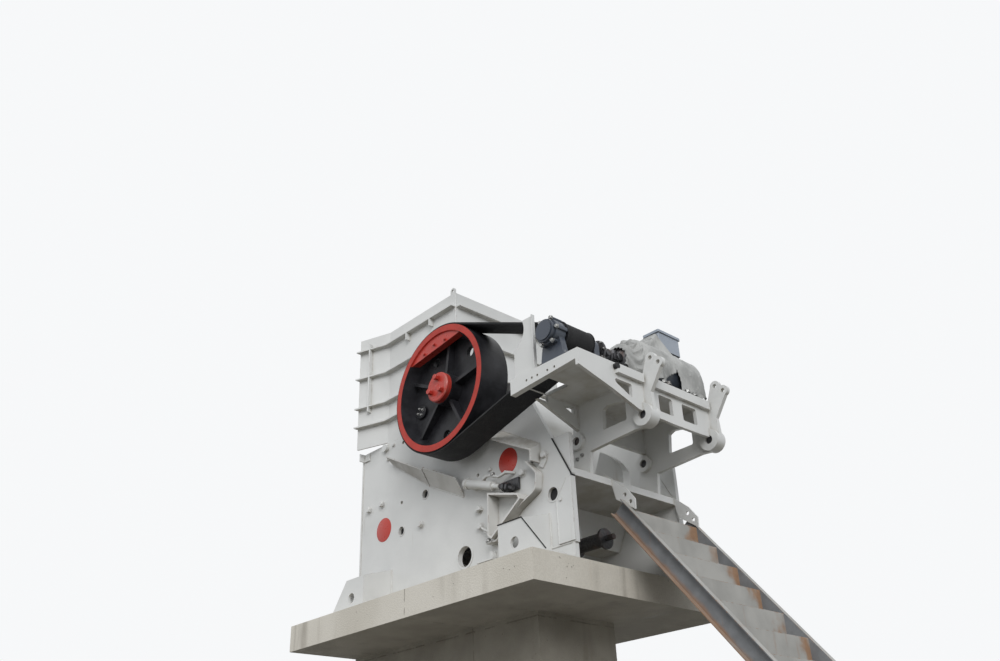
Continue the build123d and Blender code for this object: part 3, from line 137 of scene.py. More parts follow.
class Value:
    """Output of a node, open to sums, products and comparisons in its tree."""

    def __init__(self, graph: "Graph", socket: NodeSocket) -> None:
        """Keep the tree and the output socket."""
        self.graph = graph
        self.socket = socket

    def __add__(self, other: object) -> "Value":
        """Sum of two numbers."""
        return self.graph.calc("ADD", self, other)

    def __sub__(self, other: object) -> "Value":
        """This number less another."""
        return self.graph.calc("SUBTRACT", self, other)

    def __rsub__(self, other: object) -> "Value":
        """Another number less this one."""
        return self.graph.calc("SUBTRACT", other, self)

    def __mul__(self, other: object) -> "Value":
        """Product of two numbers."""
        return self.graph.calc("MULTIPLY", self, other)

    def __or__(self, other: object) -> "Value":
        """The larger of two numbers."""
        return self.graph.calc("MAXIMUM", self, other)

    def __abs__(self) -> "Value":
        """Size without its sign."""
        return self.graph.calc("ABSOLUTE", self)

    def window(self, low: float, high: float) -> "Value":
        """Smooth step from 0 at low to 1 at high, which may be the smaller of the two."""
        span = {"Value": self, "From Min": low, "From Max": high}
        made = self.graph.node("ShaderNodeMapRange", span, interpolation_type="SMOOTHSTEP")
        return Value(self.graph, made.outputs["Result"])

    def between(self, low: float, high: float) -> "Value":
        """Number that goes from low to high with this share of 0 to 1."""
        span = {"Value": self, "To Min": low, "To Max": high}
        return Value(self.graph, self.graph.node("ShaderNodeMapRange", span).outputs["Result"])


Look = tuple[NodeSocket, Value]


class Graph:
    """Node tree with short calls that add nodes and feed them."""

    def __init__(self, tree: NodeTree) -> None:
        """Empty a tree to fill it anew."""
        self.tree = tree
        tree.nodes.clear()

    def feed(self, socket: NodeSocket, value: object) -> None:
        """Link a socket to an output, or set its own value.

        Args:
            socket: Input that is fed.
            value: Value, output socket, node that stands for its first output, number, text,
                vector, RGB colour or material.
        """
        if isinstance(value, Value):
            value = value.socket
        elif isinstance(value, Node):
            value = value.outputs[0]
        if isinstance(value, NodeSocket):
            self.tree.links.new(value, socket)
        else:
            socket.default_value = (*value, 1.0) if socket.type == "RGBA" else value

    def node(
        self, kind: str, inputs: dict[str | int, object] | None = None, **settings: object
    ) -> Node:
        """Add a node.

        Args:
            kind: Blender's name of the node type.
            inputs: What feeds its inputs, by their names or numbers.
            **settings: Properties of the node.

        Returns:
            The node.
        """
        made = self.tree.nodes.new(kind)
        assign(made, **settings)
        for key, value in (inputs or {}).items():
            self.feed(made.inputs[key], value)
        return made

    def calc(self, operation: str, *values: object) -> Value:
        """Result of a Math node's operation on numbers or values."""
        made = self.node("ShaderNodeMath", dict(enumerate(values)), operation=operation)
        return Value(self, made.outputs[0])

    def seen(self) -> Value:
        """Share of 1 for rays of the camera, straight, reflected or through glass."""
        rays = self.node("ShaderNodeLightPath").outputs
        camera, glossy, through = (
            Value(self, rays[f"Is {kind} Ray"]) for kind in ("Camera", "Glossy", "Transmission")
        )
        return camera | glossy | through


class ShaderGraph(Graph):
    """Node tree of one material, with short calls for what the finishes share."""

    def __init__(self, name: str) -> None:
        """Start a material of this name with one principled shader."""
        self.material = bpy.data.materials.new(name)
        self.material.use_nodes = True
        super().__init__(self.material.node_tree)
        self.shader = self.node("ShaderNodeBsdfPrincipled")
        self.node("ShaderNodeOutputMaterial", {0: self.shader})
        self.place = self.node("ShaderNodeTexCoord").outputs["Object"]

    def shade(self, inputs: dict[str, object]) -> None:
        """Feed inputs of the shader by their names."""
        for key, value in inputs.items():
            self.feed(self.shader.inputs[key], value)

    def noise(self, scale: float, detail: float, rise: float = 1.0) -> Value:
        """Fractal noise on Object coordinates.

        Args:
            scale: Spots per metre.
            detail: Octaves.
            rise: Factor on Z; a small one draws the pattern out upwards.

        Returns:
            The noise value, about 0.5 on average.
        """
        mapping = self.node("ShaderNodeMapping", {"Scale": (1.0, 1.0, rise), "Vector": self.place})
        spread = {"Scale": scale, "Detail": detail, "Vector": mapping}
        return Value(self, self.node("ShaderNodeTexNoise", spread).outputs["Fac"])

    def spots(
        self, scale: float, detail: float, low: float, high: float, rise: float = 1.0
    ) -> Value:
        """Noise cut to spots, with a share of 0 below low and of 1 above high."""
        return self.noise(scale, detail, rise).window(low, high)

    def mix(
        self, share: object, under: object, over: object, blend: str = "MIX"
    ) -> NodeSocket:
        """Colour with a share of another one over it, in a blend mode."""
        colours = {0: share, 6: under, 7: over}
        return self.node("ShaderNodeMix", colours, data_type="RGBA", blend_type=blend).outputs[2]

    def bump(self, height: object, distance: float, strength: float = 1.0) -> None:
        """Give the shader a bumped normal, over any bump it has.

        Args:
            height: Height pattern from 0 to 1.
            distance: Depth of the pattern in metres.
            strength: Share of the effect.
        """
        normal = self.shader.inputs["Normal"]
        pattern = {"Strength": strength, "Distance": distance, "Height": height}
        if normal.is_linked:
            pattern["Normal"] = normal.links[0].from_socket
        self.feed(normal, self.node("ShaderNodeBump", pattern))

    def axis(self, letter: str) -> Value:
        """One of the Object coordinates: X, Y or Z."""
        split = self.node("ShaderNodeSeparateXYZ", {0: self.place})
        return Value(self, split.outputs[letter])

    def facing(self, letter: str) -> Value:
        """Share of the surface normal along X, Y or Z, from -1 to 1."""
        normal = self.node("ShaderNodeNewGeometry").outputs["Normal"]
        return Value(self, self.node("ShaderNodeSeparateXYZ", {0: normal}).outputs[letter])

    def worn_edges(self, radius: float) -> Value:
        """Share of 1 near sharp edges, in a band of this width in metres."""
        bevel = self.node("ShaderNodeBevel", {"Radius": radius}, samples=4)
        normal = self.node("ShaderNodeNewGeometry").outputs["Normal"]
        dot = self.node("ShaderNodeVectorMath", {0: bevel, 1: normal}, operation="DOT_PRODUCT")
        return Value(self, dot.outputs["Value"]).window(0.985, 0.8)

    def crevices(self, reach: float) -> Value:
        """Share of 1 in corners and folds, where surfaces this near shade each other."""
        shade = self.node("ShaderNodeAmbientOcclusion", {"Distance": reach}, samples=6)
        return Value(self, shade.outputs["AO"]).window(0.8, 0.3)


@dataclass(frozen=True)
class Finish:
    """A finish with colour variation, roughness and bump from nodes."""

    name: str
    base: Colour
    roughness: float = 0.5
    metallic: float = 0.0
    specular: float = 0.5

    def build(self) -> Material:
        """Make the material.

        Returns:
            The material.
        """
        graph = ShaderGraph(self.name)
        colour, roughness = self.paint(graph)
        graph.shade({
            "Base Color": colour,
            "Roughness": roughness,
            "Metallic": self.metallic,
            "Specular IOR Level": self.specular,
        })
        return graph.material

    def paint(self, graph: ShaderGraph) -> Look:
        """Fill the material's graph, and return its colour and roughness."""
        raise NotImplementedError


@dataclass(frozen=True)
class PaintFinish(Finish):
    """Machine paint with dust on top, streaks of dirt, rust at worn edges, and painted shade on
    downward faces and in corners.
    """

    dust: Colour = (0.5, 0.46, 0.4)
    dust_share: float = 0.35
    rust: Colour = (0.2, 0.075, 0.03)
    rust_share: float = 0.5
    streak: Colour = (0.42, 0.38, 0.33)
    # Tint multiplied in as painted shade on downward faces and in corners.
    shade_tint: Colour = (0.6, 0.56, 0.48)
    crevice_reach: float = 0.055
    edge_width: float = 0.009

    def paint(self, graph: ShaderGraph) -> Look:
        """Layer tone, streaks, dust, painted shade and edge rust over the paint."""
        tone = graph.spots(1.6, 5, 0.35, 0.7)
        colour = graph.mix(tone, self.base, scaled(self.base, 0.9))
        runs = graph.spots(9.0, 6, 0.6, 0.78, rise=0.12)
        colour = graph.mix(runs * graph.spots(1.1, 3, 0.48, 0.66) * 0.5, colour, self.streak)
        powder = graph.spots(14.0, 6, 0.35, 0.65).between(0.4, 1.0)
        settled = graph.facing("Z").window(0.35, 0.95) * powder * self.dust_share
        colour = graph.mix(settled, colour, self.dust)
        # Painted shade: downward faces are darkened with the shade tint, in patches.
        below = graph.spots(4.0, 6, 0.3, 0.7).between(0.25, 0.75)
        underside_shade = graph.facing("Z").window(-0.25, -0.85) * below
        colour = graph.mix(underside_shade, colour, self.shade_tint, "MULTIPLY")
        # Painted shade: corners and crevices are darkened with the shade tint where near surfaces
        # occlude each other.
        patchy = graph.spots(8.0, 5, 0.35, 0.65).between(0.25, 0.75)
        corners = graph.crevices(self.crevice_reach) * patchy
        colour = graph.mix(corners, colour, self.shade_tint, "MULTIPLY")
        chips = graph.spots(26.0, 5, 0.52, 0.6)
        chipped = graph.worn_edges(self.edge_width) * chips * self.rust_share
        gloss = graph.spots(22.0, 4, 0.3, 0.7).between(self.roughness - 0.06, self.roughness + 0.1)
        graph.bump(graph.noise(38.0, 3), 0.0016, 0.5)
        graph.bump(1.0 - chipped, 0.0006)
        return graph.mix(chipped, colour, self.rust), gloss | chipped * 0.9


@dataclass(frozen=True)
class ConcreteFinish(Finish):
    """Board-marked concrete with panel joints, pits, water stains, dirt towards the ground, and
    painted shade on its undersides and below the slab.
    """

    stain: Colour = (0.24, 0.21, 0.17)
    pale: Colour = (0.75, 0.71, 0.635)
    rust: Colour = (0.42, 0.25, 0.11)
    mud: Colour = (0.3, 0.24, 0.17)
    # Lighter and darker tints of the painted shade under the slab.
    pale_underside_shade: Colour = (0.3, 0.275, 0.23)
    underside_shade_tint: Colour = (0.17, 0.15, 0.115)
    panel: float = 1.22
    slab_bottom: float = 3.7
    pits_per_metre: float = 17.0

    def joint(self, graph: ShaderGraph, letter: str, pitch: float) -> Value:
        """Share of 1 in the lines where formwork panels meet, at a pitch along X, Y or Z."""
        along = graph.axis(letter) + graph.noise(3.0, 2) * 0.012
        return graph.calc("PINGPONG", along, pitch / 2).window(0.009, 0.004)

    def paint(self, graph: ShaderGraph) -> Look:
        """Layer clouds, joints, stains, painted shade and pits."""
        colour = graph.mix(graph.spots(0.9, 8, 0.3, 0.72), self.base, self.pale)
        grain = graph.spots(60.0, 6, 0.25, 0.8)
        colour = graph.mix(grain * 0.16, colour, self.stain)
        runs = graph.spots(5.0, 8, 0.52, 0.74, rise=0.1)
        wet = runs * graph.spots(0.7, 4, 0.42, 0.62) * 0.75
        colour = graph.mix(wet, colour, self.stain)
        joints = self.joint(graph, "Z", self.panel) | self.joint(graph, "X", self.panel * 2)
        broken = joints * graph.spots(7.0, 4, 0.4, 0.56)
        colour = graph.mix(broken * 0.7, colour, self.stain)
        rusty = graph.spots(3.1, 7, 0.66, 0.78, rise=0.08)
        colour = graph.mix(rusty * 0.5, colour, self.rust)
        splash = (graph.axis("Z") + graph.noise(2.2, 6) * 0.9).window(0.95, 0.35)
        colour = graph.mix(splash * 0.45, colour, self.mud)
        # Painted shade: downward faces and all faces below the slab's bottom are darkened with a
        # mottled shade tint.
        below = graph.axis("Z").window(self.slab_bottom + 0.004, self.slab_bottom - 0.004)
        underside_shade_share = graph.facing("Z").window(-0.5, -0.9) | below
        underside_shade_tint = graph.mix(graph.spots(1.7, 8, 0.35, 0.66), self.pale_underside_shade, self.underside_shade_tint)
        colour = graph.mix(underside_shade_share * 0.72, colour, underside_shade_tint)
        cells = {"Scale": self.pits_per_metre, "Vector": graph.place}
        pits = graph.node("ShaderNodeTexVoronoi", cells, feature="F1").outputs["Distance"]
        hole = Value(graph, pits).window(0.15, 0.08) * graph.spots(4.0, 3, 0.5, 0.62)
        graph.bump(grain, 0.0025, 0.7)
        graph.bump(1.0 - (hole | broken), 0.006)
        rough = wet.between(self.roughness, self.roughness - 0.25)
        return graph.mix(hole * 0.6, colour, self.stain), rough


@dataclass(frozen=True)
class MetalFinish(Finish):
    """Bare or oiled metal with mottled tone, grime and some rust."""

    rust: Colour = (0.16, 0.07, 0.035)
    rust_share: float = 0.35
    grain: float = 40.0

    def paint(self, graph: ShaderGraph) -> Look:
        """Layer mottling and rust over the metal."""
        tone = graph.spots(self.grain, 5, 0.3, 0.7)
        colour = graph.mix(tone, self.base, scaled(self.base, 0.6))
        rusty = graph.spots(6.0, 8, 0.5, 0.72) * self.rust_share
        graph.bump(tone, 0.0012, 0.6)
        return graph.mix(rusty, colour, self.rust), rusty.between(self.roughness, 0.85)


@dataclass(frozen=True)
class StairFinish(Finish):
    """Grey primer on the steps, the stringers' webs darkened as painted shade, and rust on flanges
    and far ends.
    """

    # Dark slate tint that paints the stringers' webs as if in shade.
    web: Colour = (0.165, 0.172, 0.18)
    rust: Colour = (0.23, 0.105, 0.045)
    light_rust: Colour = (0.4, 0.21, 0.09)
    head_z: float = 4.832

    def below_edge(self, graph: ShaderGraph) -> Value:
        """Distance in metres below the stringers' upper edge, blurred by noise."""
        run = (self.head_z - graph.axis("Z")) * (1 / math.tan(STAIR_SLOPE))
        uneven = (graph.noise(4.0, 6) - 0.5) * 0.1
        return (run + STAIR_HEAD_X - graph.axis("X")) * math.sin(STAIR_SLOPE) + uneven

    def paint(self, graph: ShaderGraph) -> Look:
        """Layer the primer, the webs darkened as painted shade, the rusty edges and stains over
        each other.
        """
        colour = graph.mix(graph.spots(3.0, 7, 0.3, 0.72), self.base, scaled(self.base, 0.78))
        across = graph.axis("Y")
        near = across.window(STAIR_NEAR + 0.004, STAIR_NEAR)
        outside = near | across.window(STAIR_FAR - 0.004, STAIR_FAR)
        # Painted shade: the webs of both stringers get the darker slate tint.
        web = outside * abs(graph.facing("Y")).window(0.6, 0.9)
        mottle = graph.spots(7.0, 8, 0.35, 0.7)
        colour = graph.mix(web, colour, graph.mix(mottle, self.web, scaled(self.web, 1.3)))
        down = graph.facing("Z").window(-0.2, -0.6) * outside
        far_end = (across + graph.noise(6.0, 4) * 0.5).window(0.86, 1.02)
        stain = far_end * (1.0 - outside) * graph.spots(2.3, 3, 0.36, 0.56)
        edge = graph.worn_edges(0.01) * graph.spots(24.0, 7, 0.42, 0.62)
        lower = self.below_edge(graph).window(0.135, 0.185) * outside
        runs = graph.spots(11.0, 6, 0.6, 0.76, rise=0.15)
        rusty = down * 0.75 | stain * 0.8 | edge | lower * 0.62 | runs * 0.35
        rust = graph.mix(graph.noise(18.0, 6), self.rust, self.light_rust)
        graph.bump(graph.noise(60.0, 4), 0.0012, 0.6)
        graph.bump(rusty, 0.0015, 0.5)
        return graph.mix(rusty, colour, rust), rusty.between(self.roughness, 0.92)


@dataclass(frozen=True)
class WheelFinish(Finish):
    """Black painted casting whose rim faces are red."""

    specular: float = 0.25
    red: Colour = (0.5, 0.045, 0.03)
    dust: Colour = (0.22, 0.23, 0.25)
    rim_inner: float = 0.69
    face_y: float = 1.4
    weight_angle: float = 97.0
    weight_chord: float = 0.52

    def paint(self, graph: ShaderGraph) -> Look:
        """Paint each wheel's outer ring and the lip over the counterweight red."""
        along = graph.axis("X") - ROTOR_AXIS[0]
        up = graph.axis("Z") - ROTOR_AXIS[1]
        outwards = abs(graph.axis("Y"))
        radius = graph.calc("SQRT", along * along + up * up)
        inside = radius.window(WHEEL_RADIUS + 0.0005, WHEEL_RADIUS - 0.0015)
        rim = radius.window(self.rim_inner - 0.001, self.rim_inner)
        ring = rim * outwards.window(self.face_y + 0.045, self.face_y + 0.048) * inside
        turn = math.radians(self.weight_angle)
        chord = along * math.cos(turn) + up * math.sin(turn)
        lip = outwards.window(1.4285, 1.43)
        lip = lip * chord.window(self.weight_chord - 0.004, self.weight_chord)
        ring = ring | lip * radius.window(0.64, 0.65) * inside
        mottle = graph.spots(9.0, 6, 0.3, 0.7)
        powder = graph.spots(5.0, 7, 0.5, 0.72) * 0.06
        black = graph.mix(mottle, self.base, scaled(self.base, 1.9))
        black = graph.mix(powder, black, self.dust)
        red = graph.mix(mottle, self.red, scaled(self.red, 0.8))
        graph.bump(graph.noise(55.0, 4), 0.0015, 0.6)
        return graph.mix(ring, black, red), powder.between(self.roughness, 0.8)


@dataclass(frozen=True)
class RubberFinish(Finish):
    """Matt black rubber with pale dust."""

    specular: float = 0.25
    dust: Colour = (0.13, 0.13, 0.125)

    def paint(self, graph: ShaderGraph) -> Look:
        """Layer scuffs and dust over the rubber."""
        dusty = graph.spots(7.0, 7, 0.45, 0.72) * 0.09
        graph.bump(graph.noise(90.0, 3), 0.0008, 0.6)
        return graph.mix(dusty, self.base, self.dust), dusty.between(self.roughness, 0.95)


@dataclass(frozen=True)
class ClothFinish(Finish):
    """Weathered coated cloth with a fine weave, dirt, pale creases and painted shade in its folds.
    """

    pale: Colour = (0.55, 0.55, 0.53)
    shade: Colour = (0.13, 0.13, 0.125)
    fold_reach: float = 0.11

    def paint(self, graph: ShaderGraph) -> Look:
        """Layer weave, dirt, creases and painted shade in the folds."""
        dirt = graph.spots(3.2, 8, 0.35, 0.7)
        colour = graph.mix(dirt, self.base, scaled(self.base, 0.62))
        crease = graph.spots(13.0, 9, 0.56, 0.66)
        colour = graph.mix(crease * 0.35, colour, self.pale)
        # Painted shade: the folds are darkened where the cloth occludes itself.
        colour = graph.mix(graph.crevices(self.fold_reach) * 0.75, colour, self.shade)
        graph.bump(graph.noise(240.0, 2), 0.0006, 0.7)
        graph.bump(crease, 0.004, 0.8)
        graph.bump(graph.noise(9.0, 5, rise=0.45), 0.03, 0.55)
        return colour, dirt.between(self.roughness - 0.1, self.roughness + 0.15)


class Finishes:
    """All finishes of the object, made once and looked up by slot or by name."""

    slate_nodes = ("pulley_stand", "motor")
    # Nodes with heavy dust and rust, and strong painted shade on their undersides and in corners.
    dusty_shaded_nodes = (
        "wedge_bracket_near", "wedge_bracket_far", "guard_ledges_near", "guard_ledges_far",
    )
    by_slot = {
        Slot.CONCRETE: ConcreteFinish("cast_concrete", (0.62, 0.58, 0.505), 0.86),
        Slot.WHITE: PaintFinish("off_white_machine_paint", (0.71, 0.71, 0.695), 0.38),
        Slot.RED: PaintFinish(
            "signal_red_paint", (0.52, 0.045, 0.03), 0.32, rust_share=0.2, dust_share=0.15
        ),
        Slot.WHEEL: WheelFinish("black_wheel_paint_red_rim", (0.012, 0.012, 0.014), 0.38),
        Slot.DARK_STEEL: MetalFinish("oiled_dark_steel", (0.1, 0.1, 0.105), 0.42, 0.8),
        Slot.JAW_STEEL: MetalFinish("manganese_casting", (0.21, 0.19, 0.17), 0.55, 0.7),
        Slot.BLUE_GREY: PaintFinish(
            "blue_grey_paint", (0.36, 0.4, 0.46), 0.42, rust_share=0.2
        ),
        Slot.BELT: RubberFinish("belt_rubber", (0.016, 0.016, 0.017), 0.72),
        Slot.STAIR: StairFinish("primed_stair_steel", (0.42, 0.41, 0.385), 0.6),
        Slot.SHEET: ClothFinish("grey_cover_cloth", (0.44, 0.44, 0.425), 0.62),
    }

    def __init__(self) -> None:
        """Make the materials."""
        self.by_slot = {slot: finish.build() for slot, finish in self.by_slot.items()}
        # Heavy dust and rust, with a dark brown shade tint that paints shade on downward faces and
        # in corners.
        self.dusty_shaded = PaintFinish(
            "grimy_machine_paint", (0.68, 0.67, 0.645), 0.5,
            dust=(0.36, 0.32, 0.25), dust_share=0.85, shade_tint=(0.28, 0.24, 0.175), rust_share=0.9,
        ).build()
        self.slate = PaintFinish(
            "dark_slate_paint", (0.06, 0.072, 0.095), 0.36, rust_share=0.25, dust_share=0.22
        ).build()
        self.zinc = MetalFinish(
            "zinc_bolts", (0.42, 0.42, 0.41), 0.38, 0.9, rust_share=0.25
        ).build()
        self.seal = RubberFinish("black_seal", (0.02, 0.02, 0.021), 0.6).build()

    def dress_nodes(self) -> None:
        """Give every CAD node its own finish or that of its slot in the record."""
        own = dict.fromkeys(self.slate_nodes, self.slate)
        own |= dict.fromkeys(self.dusty_shaded_nodes, self.dusty_shaded)
        for row in frame["record"]["subparts"]:
            node, slot = row["node"], Slot(row["material_slot"])
            for material_slot in frame["nodes"][node].material_slots:
                material_slot.material = own.get(node, self.by_slot[slot])
            LOG.info("dressed %s with %s", node, slot.value)


@dataclass
class Studio:
    """Camera at the photograph's angle, soft lamps, plain pale floor and background."""

    lens: float = 33.91
    sensor: float = 36.0
    place: Point = (8.0646, -7.6724, 1.5523)
    right: Point = (0.67413, 0.73769, -0.03666)
    up: Point = (0.37717, -0.30117, 0.8758)
    back: Point = (0.63503, -0.60425, -0.48128)
    floor_size: float = 160.0

    def build(self) -> None:
        """Set up the camera, lamps, floor and world."""
        scene = bpy.context.scene
        scene.view_settings.view_transform = "Standard"
        scene.camera = add_object("photo_camera", bpy.data.cameras.new("photo_camera"))
        assign(scene.camera.data, lens=self.lens, sensor_width=self.sensor, clip_end=400)
        turned = Matrix((self.right, self.up, self.back)).transposed()
        scene.camera.matrix_world = Matrix.Translation(self.place) @ turned.to_4x4()
        self.lamp("key_sun", (0.1, 0.6, -0.85), 0.5, 0.5)
        self.lamp("side_sun", (-0.7, 0.55, -0.4), 1.5, 0.6)
        self.floor()
        self.world()

    def lamp(self, name: str, direction: Point, strength: float, spread: float) -> None:
        """Add a soft sun.

        Args:
            name: Name of the lamp.
            direction: Direction in which the light travels.
            strength: Irradiance.
            spread: Angular size in radians.
        """
        sun = add_object(name, bpy.data.lights.new(name, "SUN"))
        assign(sun.data, energy=strength, angle=spread)
        sun.rotation_mode = "QUATERNION"
        sun.rotation_quaternion = Vector(direction).to_track_quat("-Z", "Y")

    def floor(self) -> None:
        """Lay a plain pale floor that keeps the object's shadow."""
        mesh = bpy.data.meshes.new("studio_floor")
        half = self.floor_size / 2
        corners = [(-half, -half, 0), (half, -half, 0), (half, half, 0), (-half, half, 0)]
        mesh.from_pydata(corners, [], [(0, 1, 2, 3)])
        graph = ShaderGraph("pale_floor")
        pale = graph.mix(graph.noise(0.4, 2), (0.8, 0.8, 0.79), (0.84, 0.84, 0.83))
        colour = graph.mix(graph.seen(), (0.2, 0.19, 0.17), pale)
        graph.shade({"Base Color": colour, "Roughness": 0.9})
        mesh.materials.append(graph.material)
        floor = add_object("studio_floor", mesh)

    def world(self) -> None:
        """Light the object from all round, and show the camera a pale background."""
        world = bpy.data.worlds.new("studio_world")
        world.use_nodes = True
        graph = Graph(world.node_tree)
        ambient, shown = (
            graph.node("ShaderNodeBackground", {"Color": colour, "Strength": strength})
            for colour, strength in (((0.9, 0.95, 1.0), 0.58), ((0.93, 0.94, 0.95), 1.0))
        )
        choose = graph.node("ShaderNodeMixShader", {0: graph.seen(), 1: ambient, 2: shown})
        graph.node("ShaderNodeOutputWorld", {0: choose})
        bpy.context.scene.world = world


class Shape:
    """Mesh of one piece in metres in the CAD frame, built up from plain solids."""

    def __init__(self) -> None:
        """Start an empty mesh."""
        self.mesh = bmesh.new()

    def prism(self, outline: Sequence[Point], depth: Point) -> None:
        """Push a flat outline through space.

        Args:
            outline: Corners of the flat outline, in order.
            depth: Vector from the first end to the other.
        """
        low = [self.mesh.verts.new(point) for point in outline]
        high = [self.mesh.verts.new(Vector(point) + Vector(depth)) for point in outline]
        self.mesh.faces.new(low[::-1])
        self.mesh.faces.new(high)
        self.band(low, high)

    def band(self, one: Sequence[bmesh.types.BMVert], two: Sequence[bmesh.types.BMVert]) -> None:
        """Join two rings of as many points by faces."""
        for step in range(len(one)):
            after = (step + 1) % len(one)
            self.mesh.faces.new((one[step], one[after], two[after], two[step]))

    def skin(self, rings: Sequence[Sequence[Vector]], closed: bool = False) -> None:
        """Join rings of points, one after the other.

        Args:
            rings: The rings, of as many points each.
            closed: Whether the last ring joins the first, where otherwise both ends are capped.
        """
        made = [[self.mesh.verts.new(point) for point in ring] for ring in rings]
        for one, two in zip(made, made[1:] + made[:closed]):
            self.band(one, two)
        if not closed:
            self.mesh.faces.new(made[0][::-1])
            self.mesh.faces.new(made[-1])

    def plate(self, outline: Sequence[Pair], thickness: float) -> None:
        """Upright plate on the near side plate's outer face, with X and Z of its corners."""
        self.prism([(x, PLATE_FACE, z) for x, z in outline], (0.0, -thickness, 0.0))

    def block(self, low: Point, high: Point) -> None:
        """Rectangular block between its lowest and its highest corner."""
        (x0, y0, z0), (x1, y1, z1) = low, high
        corners = [(x0, y0, z0), (x1, y0, z0), (x1, y1, z0), (x0, y1, z0)]
        self.prism(corners, (0.0, 0.0, z1 - z0))

    def lathe(
        self, foot: Point, axis: Point, profile: Sequence[Pair], sides: int, closed: bool = False
    ) -> None:
        """Turn a profile round an axis.

        Args:
            foot: Point on the axis where distances start.
            axis: Direction of the axis.
            profile: Radius and distance along the axis, from one end to the other.
            sides: Number of sides round the axis.
            closed: Whether the profile is a closed section round a bore.
        """
        turn = Vector(axis).normalized().to_track_quat("Z", "X")
        rings = []
        for radius, along in profile:
            ring = [
                Vector((radius * math.cos(angle), radius * math.sin(angle), along))
                for angle in turns(sides)
            ]
            rings.append([Vector(foot) + turn @ point for point in ring])
        self.skin(rings, closed)

    def bar(self, foot: Point, axis: Point, radius: float, length: float, sides: int) -> None:
        """Plain bar from the middle of its first end along an axis."""
        self.lathe(foot, axis, [(radius, 0.0), (radius, length)], sides)

    def collar(
        self, foot: Point, axis: Point, inner: float, outer: float, length: float, sides: int
    ) -> None:
        """Collar between an inner and an outer radius, from its foot along an axis."""
        section = [(inner, 0.0), (outer, 0.0), (outer, length), (inner, length)]
        self.lathe(foot, axis, section, sides, closed=True)

    def tube(self, path: Sequence[Point], radius: float) -> None:
        """Round bar that follows points, mitred where it bends.

        Args:
            path: Points on its centre line.
            radius: Radius of the bar.
        """
        points = [Vector(point) for point in path]
        runs = [(after - before).normalized() for before, after in zip(points, points[1:])]
        side = runs[0].orthogonal().normalized()
        rings = []
        for point, before, after in zip(points, runs[:1] + runs, runs + runs[-1:]):
            along = (before + after).normalized()
            side = (side - along * side.dot(along)).normalized()
            across = along.cross(side)
            reach = radius / max(0.5, along.dot(before))
            ring = [side * math.cos(angle) + across * math.sin(angle) for angle in turns(12)]
            rings.append([point + offset * reach for offset in ring])
        self.skin(rings)

    def mirror(self) -> None:
        """Add the mirror image across the centre plane."""
        parts = self.mesh.verts[:] + self.mesh.edges[:] + self.mesh.faces[:]
        for part in bmesh.ops.duplicate(self.mesh, geom=parts)["geom"]:
            if isinstance(part, bmesh.types.BMVert):
                part.co.y = -part.co.y

    def finish(self, name: str) -> Mesh:
        """Turn the shape into a mesh of this name, with its faces outwards."""
        bmesh.ops.recalc_face_normals(self.mesh, faces=self.mesh.faces[:])
        mesh = bpy.data.meshes.new(name)
        self.mesh.to_mesh(mesh)
        self.mesh.free()
        return mesh


def place_piece(
    mesh: Mesh, name: str, body: Body, bevel: float = 0.0
) -> Object:
    """Put a finished mesh into the scene as a piece that rides on a body.

    Args:
        mesh: The mesh, in the CAD frame.
        name: Name of the piece.
        body: Body that it rides on.
        bevel: Width of the rounding on its edges, in metres.

    Returns:
        The piece.
    """
    mesh.shade_smooth()
    mesh.set_sharp_from_angle(angle=math.radians(35))
    piece = add_object(name, mesh)
    if bevel:
        rounding = piece.modifiers.new("rounded_edges", "BEVEL")
        assign(rounding, width=bevel, segments=2, limit_method="ANGLE", harden_normals=True)
        rounding.angle_limit = math.radians(40)
    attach(piece, body.value)
    LOG.info("%s: %d faces on %s", name, len(mesh.polygons), body.value)
    return piece


